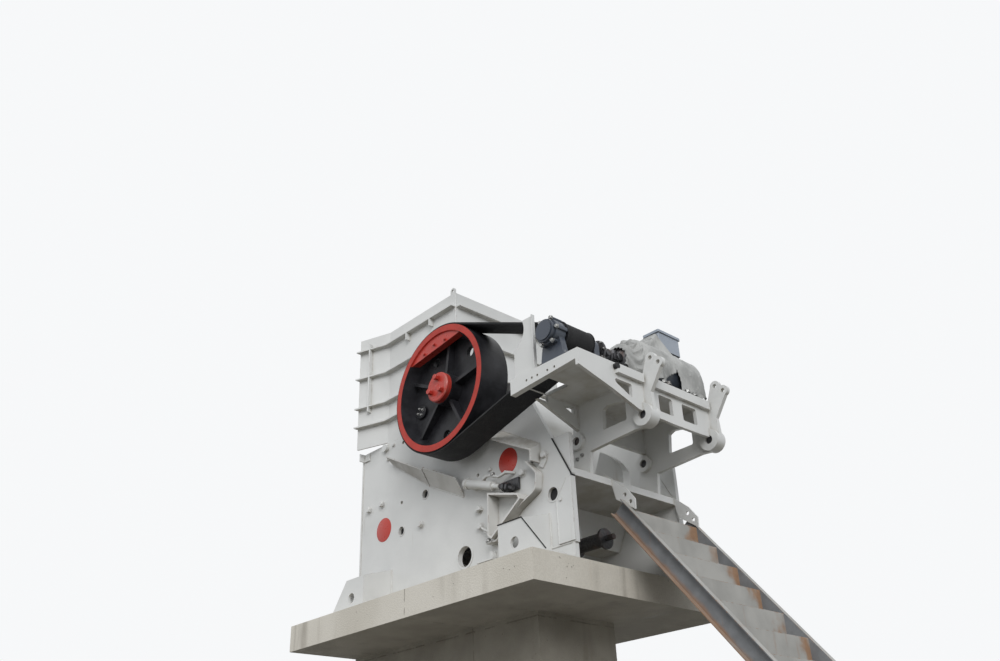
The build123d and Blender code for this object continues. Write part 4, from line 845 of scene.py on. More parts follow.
class Repeater(Graph):
    """Geometry Nodes tree with named inputs, run on a guide mesh and turned into a plain mesh."""

    def __init__(self, name: str, sizes: dict[str, float | int]) -> None:
        """Start a tree with a guide and named sizes.

        Args:
            name: Name of the tree.
            sizes: Its named inputs; a whole number makes a whole-number input.
        """
        super().__init__(bpy.data.node_groups.new(name, "GeometryNodeTree"))
        ports = self.tree.interface
        for label, side in (("Guide", "INPUT"), ("Result", "OUTPUT")):
            ports.new_socket(label, in_out=side, socket_type="NodeSocketGeometry")
        self.values = {}
        for label, value in sizes.items():
            kind = "NodeSocketInt" if isinstance(value, int) else "NodeSocketFloat"
            port = ports.new_socket(label, in_out="INPUT", socket_type=kind)
            self.values[port.identifier] = value
        outputs = self.node("NodeGroupInput").outputs
        self.guide = outputs["Guide"]
        self.sizes = [Value(self, outputs[label]) for label in sizes]

    def close(self, geometry: object, finish: Material) -> None:
        """End the tree in Realize Instances and Set Material.

        Args:
            geometry: What the tree has made.
            finish: Its material.
        """
        real = self.node("GeometryNodeRealizeInstances", {"Geometry": geometry})
        coated = self.node("GeometryNodeSetMaterial", {"Geometry": real, "Material": finish})
        self.node("NodeGroupOutput", {"Result": coated})

    def place(
        self, points: list[Point], edges: list[tuple[int, int]], name: str, body: Body, slot: Slot,
        **attributes: Sequence[Point] | Sequence[float],
    ) -> Object:
        """Run the tree on a guide mesh, and place the plain mesh that it makes.

        Args:
            points: Points of the guide.
            edges: Edges of the guide.
            name: Name of the piece.
            body: Body that it rides on.
            slot: Material slot of the record; not used.
            **attributes: A vector or a number for each point, by the attribute's name.

        Returns:
            The piece.
        """
        guide = bpy.data.meshes.new(f"{name}_guide")
        guide.from_pydata(points, edges, [])
        for label, rows in attributes.items():
            if isinstance(rows[0], tuple):
                made = guide.attributes.new(label, "FLOAT_VECTOR", "POINT")
                made.data.foreach_set("vector", [part for row in rows for part in row])
            else:
                made = guide.attributes.new(label, "FLOAT", "POINT")
                made.data.foreach_set("value", rows)
        holder = add_object(f"{name}_guide", guide)
        modifier = holder.modifiers.new("repeat", "NODES")
        modifier.node_group = self.tree
        for identifier, value in self.values.items():
            modifier[identifier] = value
        graph = bpy.context.evaluated_depsgraph_get()
        result = bpy.data.meshes.new_from_object(holder.evaluated_get(graph), depsgraph=graph)
        result.name = name
        bpy.data.objects.remove(holder)
        return place_piece(result, name, body)


@dataclass
class BoltSet:
    """Hexagon bolts with washers, all of one body, set by Geometry Nodes on guide points."""

    name: str
    body: Body
    slot: Slot
    finish: Material
    across_flats: float = 0.046
    head_height: float = 0.026
    washer_radius: float = 0.036
    washer_height: float = 0.006
    washer_sides: int = 18
    crown_share: float = 0.86
    crown_rise: float = 0.16
    places: list[tuple[Point, Point, float]] = field(default_factory=list)

    def add(self, place: Point, facing: Point, scale: float) -> None:
        """Add a bolt on a point of a face, facing away from it, as a share of the set's size."""
        self.places.append((place, facing, scale))

    def circle(
        self, centre: Point, facing: Point, radius: float, count: int, scale: float,
        start: float = 0.0,
    ) -> None:
        """Add bolts on a circle that lies across an axis parallel to Y.

        Args:
            centre: Centre of the circle.
            facing: Direction away from the face.
            radius: Radius of the circle.
            count: Number of bolts.
            scale: Size as a share of the set's bolt.
            start: Angle of the first bolt from +X towards +Z, in degrees.
        """
        for angle in turns(count):
            x, z = polar((centre[0], centre[2]), radius, math.radians(start) + angle)
            self.add((x, centre[1], z), facing, scale)

    def both_sides(self, place: Point, facing: Point, scale: float) -> None:
        """Add a bolt as add does, and its mirror image across the centre plane."""
        for side in (1, -1):
            self.add(*[(row[0], side * row[1], row[2]) for row in (place, facing)], scale)

    def build(self) -> None:
        """Set the bolts."""
        made = Repeater(f"{self.name}_tree", {
            "Across flats": self.across_flats,
            "Head height": self.head_height,
            "Washer radius": self.washer_radius,
            "Washer height": self.washer_height,
            "Washer sides": self.washer_sides,
        })
        across, height, washer_radius, washer_height, sides = made.sizes
        corner = across * (1 / math.sqrt(3))
        washer, shank = (
            made.node("GeometryNodeMeshCylinder", dict(zip(("Vertices", "Radius", "Depth"), row)))
            for row in ((sides, washer_radius, washer_height), (6, corner, height))
        )
        crown = made.node("GeometryNodeMeshCone", {
            "Vertices": 12,
            "Radius Top": corner * self.crown_share,
            "Radius Bottom": corner,
            "Depth": height * self.crown_rise,
        })
        bolt = made.node("GeometryNodeJoinGeometry", {0: washer})
        for solid, rise in ((shank, height * 0.5 + washer_height), (crown, height + washer_height)):
            shift = made.node("ShaderNodeCombineXYZ", {"Z": rise})
            raised = {"Geometry": solid, "Translation": shift}
            made.feed(bolt.inputs[0], made.node("GeometryNodeTransform", raised))
        facing, scale = (
            made.node("GeometryNodeInputNamedAttribute", {"Name": name}, data_type=kind)
            for name, kind in (("facing", "FLOAT_VECTOR"), ("size", "FLOAT"))
        )
        turn = made.node("FunctionNodeAlignRotationToVector", {"Vector": facing}, axis="Z")
        chance = {"Min": (0.0, 0.0, 0.0), "Max": (0.0, 0.0, 1.05), "Seed": 7}
        spin = made.node("FunctionNodeRandomValue", chance, data_type="FLOAT_VECTOR")
        spun = {"Rotation": turn, "Rotate By": spin}
        local = made.node("FunctionNodeRotateRotation", spun, rotation_space="LOCAL")
        spots = made.node("GeometryNodeMeshToPoints", {"Mesh": made.guide})
        placed = made.node("GeometryNodeInstanceOnPoints", {
            "Points": spots, "Instance": bolt, "Rotation": local, "Scale": scale,
        })
        made.close(placed, self.finish)
        points, directions, shares = zip(*self.places)
        made.place(points, [], self.name, self.body, self.slot, facing=directions, size=shares)


@dataclass
class WeldSet:
    """Weld beads of one body, swept along guide lines by Geometry Nodes."""

    name: str
    body: Body
    slot: Slot
    finish: Material
    radius: float = 0.008
    step: float = 0.016
    ripple: float = 0.004
    sides: int = 6
    ripples_per_metre: float = 45.0
    lines: list[tuple[Point, ...]] = field(default_factory=list)

    def add(self, *points: Point) -> None:
        """Add a bead along points on the joint."""
        self.lines.append(points)

    def both_sides(self, *points: Point) -> None:
        """Add a bead along points and its mirror image across the centre plane."""
        self.add(*points)
        self.add(*[(x, -y, z) for x, y, z in points])

    def build(self) -> None:
        """Lay the beads."""
        made = Repeater(f"{self.name}_tree", {
            "Bead radius": self.radius,
            "Ripple step": self.step,
            "Ripple height": self.ripple,
            "Bead sides": self.sides,
        })
        radius, step, ripple, sides = made.sizes
        line = made.node("GeometryNodeMeshToCurve", {"Mesh": made.guide})
        spaced = {"Curve": line, "Length": step}
        even = made.node("GeometryNodeResampleCurve", spaced, mode="LENGTH")
        section = {"Resolution": sides, "Radius": radius}
        ring = made.node("GeometryNodeCurvePrimitiveCircle", section)
        bead = made.node("GeometryNodeCurveToMesh", {
            "Curve": even, "Profile Curve": ring, "Fill Caps": True,
        })
        waves = {"Scale": self.ripples_per_metre, "Detail": 1.0}
        noise = Value(made, made.node("ShaderNodeTexNoise", waves).outputs["Fac"])
        normal = made.node("GeometryNodeInputNormal")
        shift = made.node(
            "ShaderNodeVectorMath", {0: normal, "Scale": (noise - 0.5) * ripple}, operation="SCALE"
        )
        rough = made.node("GeometryNodeSetPosition", {"Geometry": bead, "Offset": shift})
        made.close(rough, self.finish)
        points: list[Point] = []
        edges: list[tuple[int, int]] = []
        for route in self.lines:
            first = len(points)
            edges += [(first + index, first + index + 1) for index in range(len(route) - 1)]
            points += route
        made.place(points, edges, self.name, self.body, self.slot)


@dataclass
class Fittings:
    """Fittings of one sub-assembly."""

    finishes: Finishes
    bolts: BoltSet
    welds: WeldSet | None = None

    def piece(
        self, shape: Shape, name: str, slot: Slot, bevel: float = 0.0, body: Body = Body.CRUSHER
    ) -> None:
        """Place a shape as a piece with its slot's finish, or the seals' finish if of rubber.

        Args:
            shape: The shape.
            name: Name of the piece.
            slot: Material slot of the record.
            bevel: Width of the rounding on its edges, in metres.
            body: Body that it rides on.
        """
        mesh = shape.finish(name)
        rubber = slot is Slot.BELT
        mesh.materials.append(self.finishes.seal if rubber else self.finishes.by_slot[slot])
        place_piece(mesh, name, body, bevel)

    def twin_pieces(self, shape: Shape, *row: object, **options: object) -> None:
        """Place a shape together with its mirror image; what follows the shape is as for piece."""
        shape.mirror()
        self.piece(shape, *row, **options)


@dataclass
class FrameFittings(Fittings):
    """Bolts, seals, markers, stiffeners and weld beads of the crusher's frame."""

    slope_foot: Pair = (1.906, 4.874)
    slope_run_per_rise: float = 0.522
    seal_radius: float = 0.008
    foot_front: float = -1.313
    marker_radius: float = 0.15
    markers: tuple[Pair, ...] = ((0.988, 5.286), (-1.298, 5.076))
    large_bolts: tuple[Pair, ...] = (
        (-1.61, 5.408), (-1.337, 5.413), (-0.542, 4.952), (0.52, 4.66), (0.503, 4.856),
        (1.215, 5.078), (1.561, 5.175),
    )
    small_bolts: tuple[Pair, ...] = ((1.75, 4.635), (-1.235, 5.985), (-1.125, 6.15), (0.7, 5.27))
    foot_starts: Pair = (1.222, -1.116)
    plug_play: float = 0.0015
    pads: tuple[Row, ...] = (
        (0.233, 4.393, 0.116, 0.14), (1.636, 4.727, 0.071, 0.09), (-0.474, 5.312, 0.053, 0.066),
        (-0.937, 4.973, 0.053, 0.066),
    )
    ledges: tuple[Row, ...] = (
        (-1.121, 5.869, -0.386, 5.385), (-0.376, 5.377, 0.239, 5.076), (0.861, 5.685, 1.493, 5.316),
    )

    def slope_x(self, z: float) -> float:
        """X of the side plates' sloped edge at height z."""
        return self.slope_foot[0] - (z - self.slope_foot[1]) * self.slope_run_per_rise

    def build(self) -> None:
        """Make every fitting of the frame."""
        self.add_markers()
        self.add_seals()
        self.add_stiffeners()
        self.add_corner_lugs()
        self.add_bolts()
        self.add_foot_welds()
        self.add_plate_welds()

    def add_markers(self) -> None:
        """Red painted discs on both side plates."""
        shape = Shape()
        edge = self.marker_radius
        for x, z in self.markers:
            profile = [(edge, 0.0), (edge, 0.002), (edge - 0.002, 0.003)]
            shape.lathe((x, PLATE_FACE, z), NEAR, profile, 64)
        self.twin_pieces(shape, "marker_discs", Slot.RED)

    def add_seals(self) -> None:
        """Black joint seals along the slopes and over the feet, and plugs in the pin holes."""
        shape = Shape()
        y = PLATE_FACE - 0.001
        foot_x, foot_z = self.slope_foot
        slope = [(self.slope_x(z) + 0.004, y, z) for z in (5.33, 5.18, 5.03, foot_z + 0.012)]
        end = [(foot_x + 0.004, y, foot_z - 0.01), (foot_x + 0.004, -0.85, foot_z - 0.012)]
        shape.tube(slope + end, self.seal_radius)
        over_foot = ((1.222, 4.424), (1.572, 4.424), (1.89, 4.036))
        shape.tube([(x, self.foot_front, z) for x, z in over_foot], 0.006)
        for x, z, inner, _ in self.pads[1:]:
            shape.bar((x, PLATE_FACE + 0.038, z), NEAR, inner - self.plug_play, 0.004, 48)
        self.twin_pieces(shape, "joint_seals", Slot.BELT)

    def add_stiffeners(self) -> None:
        """Raised plate at the rear edge, pads round the openings and the lip above the foot."""
        shape = Shape()
        rear = [(1.69, 4.185), (1.905, 4.185), (1.905, 4.84), (1.842, 4.84), (1.69, 4.64)]
        shape.plate(rear, 0.014)
        shape.plate([(-1.795, 4.185), (-1.77, 4.185), (-1.77, 6.195), (-1.795, 6.195)], 0.01)
        for x, z, inner, outer in self.pads:
            shape.collar((x, PLATE_FACE, z), NEAR, inner, outer, 0.005, 48)
        self.twin_pieces(shape, "plate_stiffeners", Slot.WHITE, 0.002)

    def add_corner_lugs(self) -> None:
        """Small angle brackets and lifting lugs at the corners of the side plates."""
        shape = Shape()
        y = PLATE_FACE
        shape.plate([(-1.755, 6.095), (-1.64, 6.095), (-1.64, 6.185), (-1.755, 6.205)], 0.016)
        shape.block((-1.755, y - 0.095, 6.095), (-1.74, y - 0.015, 6.2))
        lug = [(1.47, 5.075), (1.53, 5.04), (1.585, 5.11), (1.585, 5.19), (1.52, 5.19)]
        shape.plate(lug, 0.018)
        shape.block((0.5, y - 0.06, 4.835), (0.56, y, 4.85))
        shape.block((0.5, y - 0.07, 4.24), (0.76, y, 4.262))
        shape.plate([(0.69, 4.262), (0.76, 4.262), (0.74, 4.33), (0.705, 4.33)], 0.06)
        self.twin_pieces(shape, "corner_lugs", Slot.WHITE, 0.003)

    def add_bolts(self) -> None:
        """Bolts of the side plates and bearing covers, and the anchors of the feet."""
        for places, scale in ((self.large_bolts, 1.35), (self.small_bolts, 0.75)):
            for x, z in places:
                self.bolts.both_sides((x, PLATE_FACE, z), NEAR, scale)
        x, z = ROTOR_AXIS
        for side in (-1, 1):
            self.bolts.circle((x, side * 1.075, z), (0, side, 0), 0.215, 12, 0.45)
        for start, run, y in product(self.foot_starts, (0.15, 0.47), (-1.19, -1.0)):
            self.bolts.both_sides((start + math.copysign(run, start), y, 4.03), UP, 1.25)

    def add_foot_welds(self) -> None:
        """Beads where the feet's ribs and plates meet the side plates."""
        y, front = PLATE_FACE - 0.001, self.foot_front
        for start in self.foot_starts:
            turned = math.copysign(1.0, start)
            for run, side in product((0.0, 0.32), (0.0, 0.03)):
                x = start + turned * (run + side)
                self.welds.both_sides((x, y, 4.032), (x, y, 4.538))
                self.welds.both_sides((x, front + 0.005, 4.032), (x, y, 4.032))
            near, far = start + turned * 0.006, start + turned * 0.64
            self.welds.both_sides((near, front + 0.002, 4.032), (far, front + 0.002, 4.032))
            self.welds.both_sides((near, y, 4.17), (far, y, 4.17))

    def add_plate_welds(self) -> None:
        """Beads along the ledges, the raised plate and the ribs at the feed end."""
        y = PLATE_FACE - 0.001
        for x0, z0, x1, z1 in self.ledges:
            for lift in (0.0, 0.021):
                self.welds.both_sides((x0, y, z0 + lift), (x1, y, z1 + lift))
        raised = y - 0.01
        self.welds.both_sides((1.69, raised, 4.19), (1.69, raised, 4.64), (1.842, raised, 4.84))
        for z, side in product((4.29, 4.87, 5.47, 6.09), (-0.026, 0.026)):
            self.welds.add((-1.661, -0.838, z + side), (-1.661, 0.838, z + side))


@dataclass
class HopperFittings(Fittings):
    """Weld beads and wear liners of the feed hopper."""

    rib_levels: Row = (6.515, 6.786, 7.227, 7.645)
    rib_thickness: float = 0.018
    rear_x: float = 0.135
    fold_x: float = -1.25
    front_x: float = -1.715
    flare: float = math.tan(math.radians(19.6))
    wall_to_liner: float = 0.0205
    liner_thickness: float = 0.012
    liner_levels: tuple[Pair, ...] = ((6.24, 6.76), (6.77, 7.29), (7.3, 7.8))
    bolt_inset: float = 0.06

    def flared_y(self, x: float) -> float:
        """Y of the near wall's outer face at x."""
        return PLATE_FACE - max(0.0, self.fold_x - x) * self.flare

    def build(self) -> None:
        """Make the liners, their bolts and the beads of the ribs."""
        self.add_liners()
        self.add_welds()

    def add_liners(self) -> None:
        """Wear plates with countersunk bolts inside the walls."""
        shape = Shape()
        inset = self.bolt_inset
        inner = PLATE_FACE + self.wall_to_liner
        face = inner + self.liner_thickness
        bays = ((-1.24, -0.8), (-0.79, -0.35), (-0.34, 0.1))
        for (low, high), (x0, x1) in product(self.liner_levels, bays):
            shape.block((x0, inner, low), (x1, face, high))
            for x, z in product((x0 + inset, x1 - inset), (low + inset, high - inset)):
                self.bolts.both_sides((x, face, z), FAR, 0.55)
        shape.mirror()
        rear = self.rear_x - self.wall_to_liner
        face = rear - self.liner_thickness
        bays = ((-0.855, -0.29), (-0.28, 0.28), (0.29, 0.855))
        for (low, high), (y0, y1) in product(self.liner_levels, bays):
            shape.block((face, y0, low), (rear, y1, high))
            for y, z in product((y0 + inset, y1 - inset), (low + inset, high - inset)):
                self.bolts.add((face, y, z), (-1, 0, 0), 0.55)
        self.piece(shape, "hopper_liners", Slot.JAW_STEEL, 0.002)

    def add_welds(self) -> None:
        """Beads above and below each rib and along the rear corners."""
        rear = self.rear_x
        for level, side in product(self.rib_levels, (0.0, self.rib_thickness)):
            z = level + side
            bends = (rear, self.fold_x, self.front_x + 0.004)
            self.welds.both_sides(*[(x, self.flared_y(x) - 0.001, z) for x in bends])
            self.welds.add((rear + 0.001, -0.878, z), (rear + 0.001, 0.878, z))
        x, y = rear - 0.001, PLATE_FACE + 0.003
        self.welds.both_sides((x, y, 6.24), (x, y, 7.85))


@dataclass
class AdjusterFittings(Fittings):
    """Loop bar, wedge rod and nuts of the wedge adjusters on both sides."""

    rod_axis: Point = (0.939, 0, -0.344)

    def build(self) -> None:
        """Make the adjuster's parts."""
        y = PLATE_FACE - 0.1
        bar = Shape()
        loop = (
            (0.69, 5.14), (0.735, 5.163), (0.8, 5.15), (0.93, 5.098), (1.0, 5.106), (1.04, 5.118),
        )
        bends = [(x, y, z) for x, z in loop]
        bar.tube([(0.66, -0.93, 5.125), *bends, (1.085, -0.902, 5.118)], 0.017)
        hook = ((0.52, 0.905, 4.65), (0.6, 0.96, 4.612), (0.69, 0.975, 4.56), (0.775, 0.95, 4.5))
        bar.tube([(x, -y, z) for x, y, z in hook], 0.013)
        bar.block((0.7, -1.006, 4.408), (0.79, -0.902, 4.426))
        sleeve = [(0.04, 0.0), (0.04, 0.06), (0.03, 0.07), (0.03, 0.15)]
        bar.lathe((0.79, -0.994, 5.033), (0.946, 0, -0.325), sleeve, 24)
        self.twin_pieces(bar, "adjuster_bar", Slot.WHITE)
        rod = Shape()
        for x, z, radius, length, sides in (
            (0.905, 5.003, 0.026, 0.25, 20), (0.985, 4.974, 0.052, 0.042, 6),
            (1.045, 4.952, 0.052, 0.03, 6),
        ):
            rod.bar((x, -0.985, z), self.rod_axis, radius, length, sides)
        rod.block((0.93, -0.93, 4.915), (1.165, -0.901, 5.05))
        rod.block((0.85, -0.96, 4.905), (0.925, -0.905, 4.935))
        self.twin_pieces(rod, "adjuster_rod", Slot.DARK_STEEL, 0.002)
        for place in ((0.845, -1.0, 5.15), (1.35, -0.905, 5.16)):
            self.bolts.both_sides(place, NEAR, 0.8)
        self.bolts.both_sides((0.735, -0.995, 4.426), UP, 0.9)
        for z in (4.945, 4.48):
            self.welds.both_sides((0.8, -0.902, z), (0.99, -0.902, z - 0.05))


@dataclass
class RotorFittings(Fittings):
    """Hub bolts, window plugs and counterweight bolts of the two wheels."""

    red_bolts: BoltSet | None = None
    cap_y: float = 1.455
    hub_bolt_circle: float = 0.108
    web_y: float = 1.254
    window_circle: float = 0.525
    plug_angle: float = 190.0
    plug_radius: float = 0.085
    weight_y: float = 1.43
    weight_bolt_circle: float = 0.59
    weight_bolt_angles: Row = (78.0, 97.0, 116.0)

    def build(self) -> None:
        """Make the parts that turn with the eccentric shaft."""
        x, z = ROTOR_AXIS
        plug_x, plug_z = polar(ROTOR_AXIS, self.window_circle, math.radians(self.plug_angle))
        plugs = Shape()
        edge = self.plug_radius
        profile = [(0.056, 0.0), (0.056, 0.028), (edge, 0.029), (edge, 0.052), (edge - 0.008, 0.06)]
        plugs.lathe((plug_x, -self.web_y + 0.03, plug_z), NEAR, profile, 32)
        self.twin_pieces(plugs, "wheel_plugs", Slot.WHEEL, 0.002, Body.ROTOR)
        centre = Shape()
        centre.lathe((x, -self.cap_y, z), NEAR, [(0.03, 0.0), (0.03, 0.006), (0.022, 0.008)], 24)
        self.twin_pieces(centre, "shaft_centres", Slot.RED, body=Body.ROTOR)
        for side in (-1, 1):
            facing = (0, side, 0)
            cap, plug = side * self.cap_y, side * (self.web_y + 0.03)
            self.red_bolts.circle((x, cap, z), facing, self.hub_bolt_circle, 3, 1.25, 82.0)
            self.bolts.circle((plug_x, plug, plug_z), facing, 0.045, 4, 0.5, 20.0)
            for angle in self.weight_bolt_angles:
                bolt_x, bolt_z = polar(ROTOR_AXIS, self.weight_bolt_circle, math.radians(angle))
                self.red_bolts.add((bolt_x, side * self.weight_y, bolt_z), facing, 0.6)


@dataclass
class BracketFittings(Fittings):
    """Slide rails, bolts, buffer and weld beads of the motor bracket."""

    plate_faces: Pair = (0.529, 0.581)
    deck_bottom: float = 5.75
    deck_top: float = 5.79
    rear_x: float = 2.662
    rear_face: float = 2.702
    front_x: float = 1.785
    rail_places: Row = (-0.184, -0.109, 0.217, 0.348)

    def build(self) -> None:
        """Make the bracket's fittings."""
        self.add_rails()
        self.add_pins()
        self.add_bolts()
        self.add_welds()

    def add_rails(self) -> None:
        """Motor slide rails whose ends show beyond the cover, with their clamp plates."""
        shape = Shape()
        top = self.deck_top + 0.022
        for y in self.rail_places:
            shape.block((2.664, y - 0.028, self.deck_top + 0.0005), (2.7, y + 0.028, top))
            self.bolts.add((2.682, y, top), UP, 0.95)
        self.piece(shape, "slide_rails", Slot.DARK_STEEL, 0.002)

    def add_pins(self) -> None:
        """Dark bushes and pins in the pivots and lugs, and the rubber buffer below the deck."""
        pins = Shape()
        for x, z in ((1.765, 5.335), (2.682, 5.332)):
            pins.lathe((x, -0.6, z), FAR, [(0.038, 0.0), (0.0465, 0.004), (0.0465, 0.09)], 32)
        self.twin_pieces(pins, "bracket_pins", Slot.DARK_STEEL)
        buffer = Shape()
        profile = [(0.02, 0.0), (0.02, 0.006), (0.034, 0.008), (0.034, 0.042), (0.028, 0.048)]
        buffer.lathe((self.rear_face, -1.003, 5.738), (1, 0, 0), profile, 24)
        self.piece(buffer, "rubber_buffer", Slot.BELT)

    def add_bolts(self) -> None:
        """Bolts of the flange, shield, bearings and lobes."""
        x, z = DRIVE_AXIS
        for sideways in (-0.13, 0.13):
            self.bolts.add((x + sideways, -0.975, 5.82), UP, 0.8)
            self.bolts.add((x + sideways, -1.505, 5.825), UP, 0.7)
        self.bolts.circle((x, -1.6, z), NEAR, 0.148, 6, 0.7)
        for x, z in ((1.8, 5.175), (1.73, 5.15)):
            self.bolts.both_sides((x, -0.581, z), NEAR, 0.6)

    def add_welds(self) -> None:
        """Beads between the deck, panels and side plates."""
        front, rear, deck = self.front_x, self.rear_x, self.deck_bottom
        for face in self.plate_faces:
            for (x0, z0), (x1, z1) in (
                ((front, deck), (rear, deck)), ((rear, 5.46), (rear, deck)),
                ((front, 5.5), (front, deck)), ((1.662, 5.072), (1.88, 4.962)),
            ):
                self.welds.both_sides((x0, -face, z0), (x1, -face, z1))
        self.welds.add((rear, -1.515, deck), (rear, 0.65, deck))
        self.welds.add((front, -1.4, deck), (front, 0.65, deck))
        self.welds.add((1.76, -1.52, deck), (2.655, -1.52, deck))
        for y in (-0.488, -0.622):
            self.welds.both_sides((self.rear_face, y, 5.72), (self.rear_face, y + 0.004, 5.74))


@dataclass
class DriveFittings(Fittings):
    """Universal joints of the cardan shaft, pulley flanges and the belt's strands."""

    pulley_radius: float = 0.13
    belt_near: float = -1.438
    belt_far: float = -1.062
    belt_thickness: float = 0.022
    belt_gap: float = 0.001
    strand_count: int = 12
    strand_width: float = 0.03
    strand_root: float = 0.0215
    flanges: tuple[Row, ...] = ((-0.862, 0.13, 0.118), (-0.497, 0.172, 0.161))
    crosses: tuple[Row, ...] = ((-0.77, 0.098, 0.034), (-0.59, 0.104, 0.038))

    def build(self) -> None:
        """Make the drive's parts."""
        self.add_joints()
        self.add_pulley_flanges()
        self.add_belt()

    def add_joints(self) -> None:
        """Yokes, crosses and flange rings at both ends of the cardan shaft."""
        x, z = DRIVE_AXIS
        shape = Shape()
        for y, radius, _ in self.flanges:
            shape.collar((x, y - 0.012, z), FAR, 0.05, radius, 0.024, 40)
        for y, reach, cross in self.crosses:
            cap = cross + 0.004
            profile = [(cross, 0.0), (cap, 0.004), (cap, 2 * reach - 0.004), (cross, 2 * reach)]
            shape.lathe((x - reach, y, z), (1, 0, 0), profile, 20)
            shape.lathe((x, y, z - reach), UP, profile, 20)
            for aside in (-0.06, 0.06):
                low, high = aside - 0.018, aside + 0.018
                shape.block((x + low, y - 0.07, z - 0.036), (x + high, y + 0.01, z + 0.036))
                shape.block((x - 0.036, y - 0.01, z + low), (x + 0.036, y + 0.07, z + high))
        shape.collar((x, -0.7, z), FAR, 0.05, 0.074, 0.03, 32)
        self.piece(shape, "cardan_joints", Slot.DARK_STEEL, 0.002, Body.DRIVE)
        for (y, _, circle), side in product(self.flanges, (-1, 1)):
            self.bolts.circle((x, y + side * 0.012, z), (0, side, 0), circle, 8, 0.45)

    def add_pulley_flanges(self) -> None:
        """Rims at both ends of the pulley."""
        shape = Shape()
        for y in (-1.0585, -1.45):
            shape.collar((DRIVE_AXIS[0], y, DRIVE_AXIS[1]), FAR, 0.06, 0.16, 0.0085, 48)
        self.piece(shape, "pulley_flanges", Slot.WHEEL, 0.0015, Body.DRIVE)

    def route(self) -> list[Point]:
        """Middle line of one strand round both wheels, in the plane y = 0.

        Returns:
            Points of the closed line.
        """
        offset = self.belt_gap + self.belt_thickness / 2
        span = Vector(DRIVE_AXIS) - Vector(ROTOR_AXIS)
        bearing = math.atan2(span.y, span.x)
        lean = math.asin((WHEEL_RADIUS - self.pulley_radius) / span.length)
        upper = bearing + math.pi / 2 - lean
        lower = bearing - math.pi / 2 + lean
        points = []
        for centre, radius, start, sweep, count in (
            (ROTOR_AXIS, WHEEL_RADIUS + offset, upper, 2 * math.pi - (upper - lower), 72),
            (DRIVE_AXIS, self.pulley_radius + offset, lower, upper - lower, 24),
        ):
            for step in range(count + 1):
                x, z = polar(centre, radius, start + sweep * step / count)
                points.append((x, 0.0, z))
        return points

    def add_belt(self) -> None:
        """Strands of the belt, which stand for the flat band of the CAD model."""
        made = Repeater("belt_strands_tree", {
            "Strand count": self.strand_count,
            "Strand pitch": (self.belt_far - self.belt_near) / self.strand_count,
            "Top width": self.strand_width,
            "Bottom width": self.strand_root,
            "Height": self.belt_thickness,
        })
        count, pitch, width, root, height = made.sizes
        line = made.node("GeometryNodeMeshToCurve", {"Mesh": made.guide})
        section = made.node("GeometryNodeCurvePrimitiveQuadrilateral", {
            "Bottom Width": width, "Top Width": root, "Height": height, "Offset": 0.0,
        }, mode="TRAPEZOID")
        strand = made.node("GeometryNodeCurveToMesh", {"Curve": line, "Profile Curve": section})
        begin = made.node("ShaderNodeCombineXYZ", {"Y": pitch * 0.5 + self.belt_near})
        offset = made.node("ShaderNodeCombineXYZ", {"Y": pitch})
        spots = {"Count": count, "Start Location": begin, "Offset": offset}
        row = made.node("GeometryNodeMeshLine", spots)
        placed = made.node("GeometryNodeInstanceOnPoints", {"Points": row, "Instance": strand})
        made.close(placed, self.finishes.by_slot[Slot.BELT])
        points = self.route()
        edges = [(index, (index + 1) % len(points)) for index in range(len(points))]
        piece = made.place(points, edges, "belt_strands", Body.CRUSHER, Slot.BELT)
        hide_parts("drive_belt")


@dataclass
class MotorFittings(Fittings):
    """Fan cowl, bolts and terminal box fittings of the motor."""

    cowl_y: float = 0.6
    grille_rings: Row = (0.06, 0.1, 0.14, 0.18)
    spoke: Pair = (0.045, 0.2)
    box_low: Point = (2.29, 0.1, 6.4)
    box_high: Point = (2.49, 0.47, 6.64)

    def build(self) -> None:
        """Make the motor's fittings."""
        self.add_cowl()
        self.bolts.circle((DRIVE_AXIS[0], -0.42, DRIVE_AXIS[1]), NEAR, 0.195, 8, 0.6, 22.5)
        self.add_glands()

    def add_cowl(self) -> None:
        """Grille of the fan cowl, with rings, spokes and a middle cap."""
        cowl = Shape()
        hub = (DRIVE_AXIS[0], self.cowl_y, DRIVE_AXIS[1])
        for radius in self.grille_rings:
            cowl.collar(hub, FAR, radius, radius + 0.012, 0.006, 48)
        for angle in turns(8):
            along = Vector((math.cos(angle), 0, math.sin(angle)))
            across = Vector((-math.sin(angle), 0, math.cos(angle))) * 0.005
            inner, outer = (Vector(hub) + along * reach for reach in self.spoke)
            corners = [inner - across, outer - across, outer + across, inner + across]
            cowl.prism(corners, (0.0, 0.008, 0.0))
        cowl.lathe(hub, FAR, [(0.05, 0.0), (0.05, 0.006), (0.03, 0.012)], 32)
        self.piece(cowl, "fan_cowl", Slot.BLUE_GREY)

    def add_glands(self) -> None:
        """Cable glands, base plate and lid bolts of the terminal box."""
        (x0, y0, z0), (x1, y1, z1) = self.box_low, self.box_high
        glands = Shape()
        profile = [(0.03, 0.0), (0.03, 0.016), (0.022, 0.018), (0.022, 0.045), (0.014, 0.05)]
        for along in (0.09, 0.185, 0.28):
            glands.lathe((x0, y0 + along, z0 + 0.06), (-1, 0, 0), profile, 12)
        glands.block((x0 + 0.012, y0 + 0.02, z0 - 0.012), (x1 - 0.012, y1 - 0.02, z0))
        self.piece(glands, "cable_glands", Slot.BELT, 0.0015)
        for x, y in product((x0 + 0.02, x1 - 0.02), (y0 + 0.02, y1 - 0.02)):
            self.bolts.add((x, y, z1), UP, 0.4)


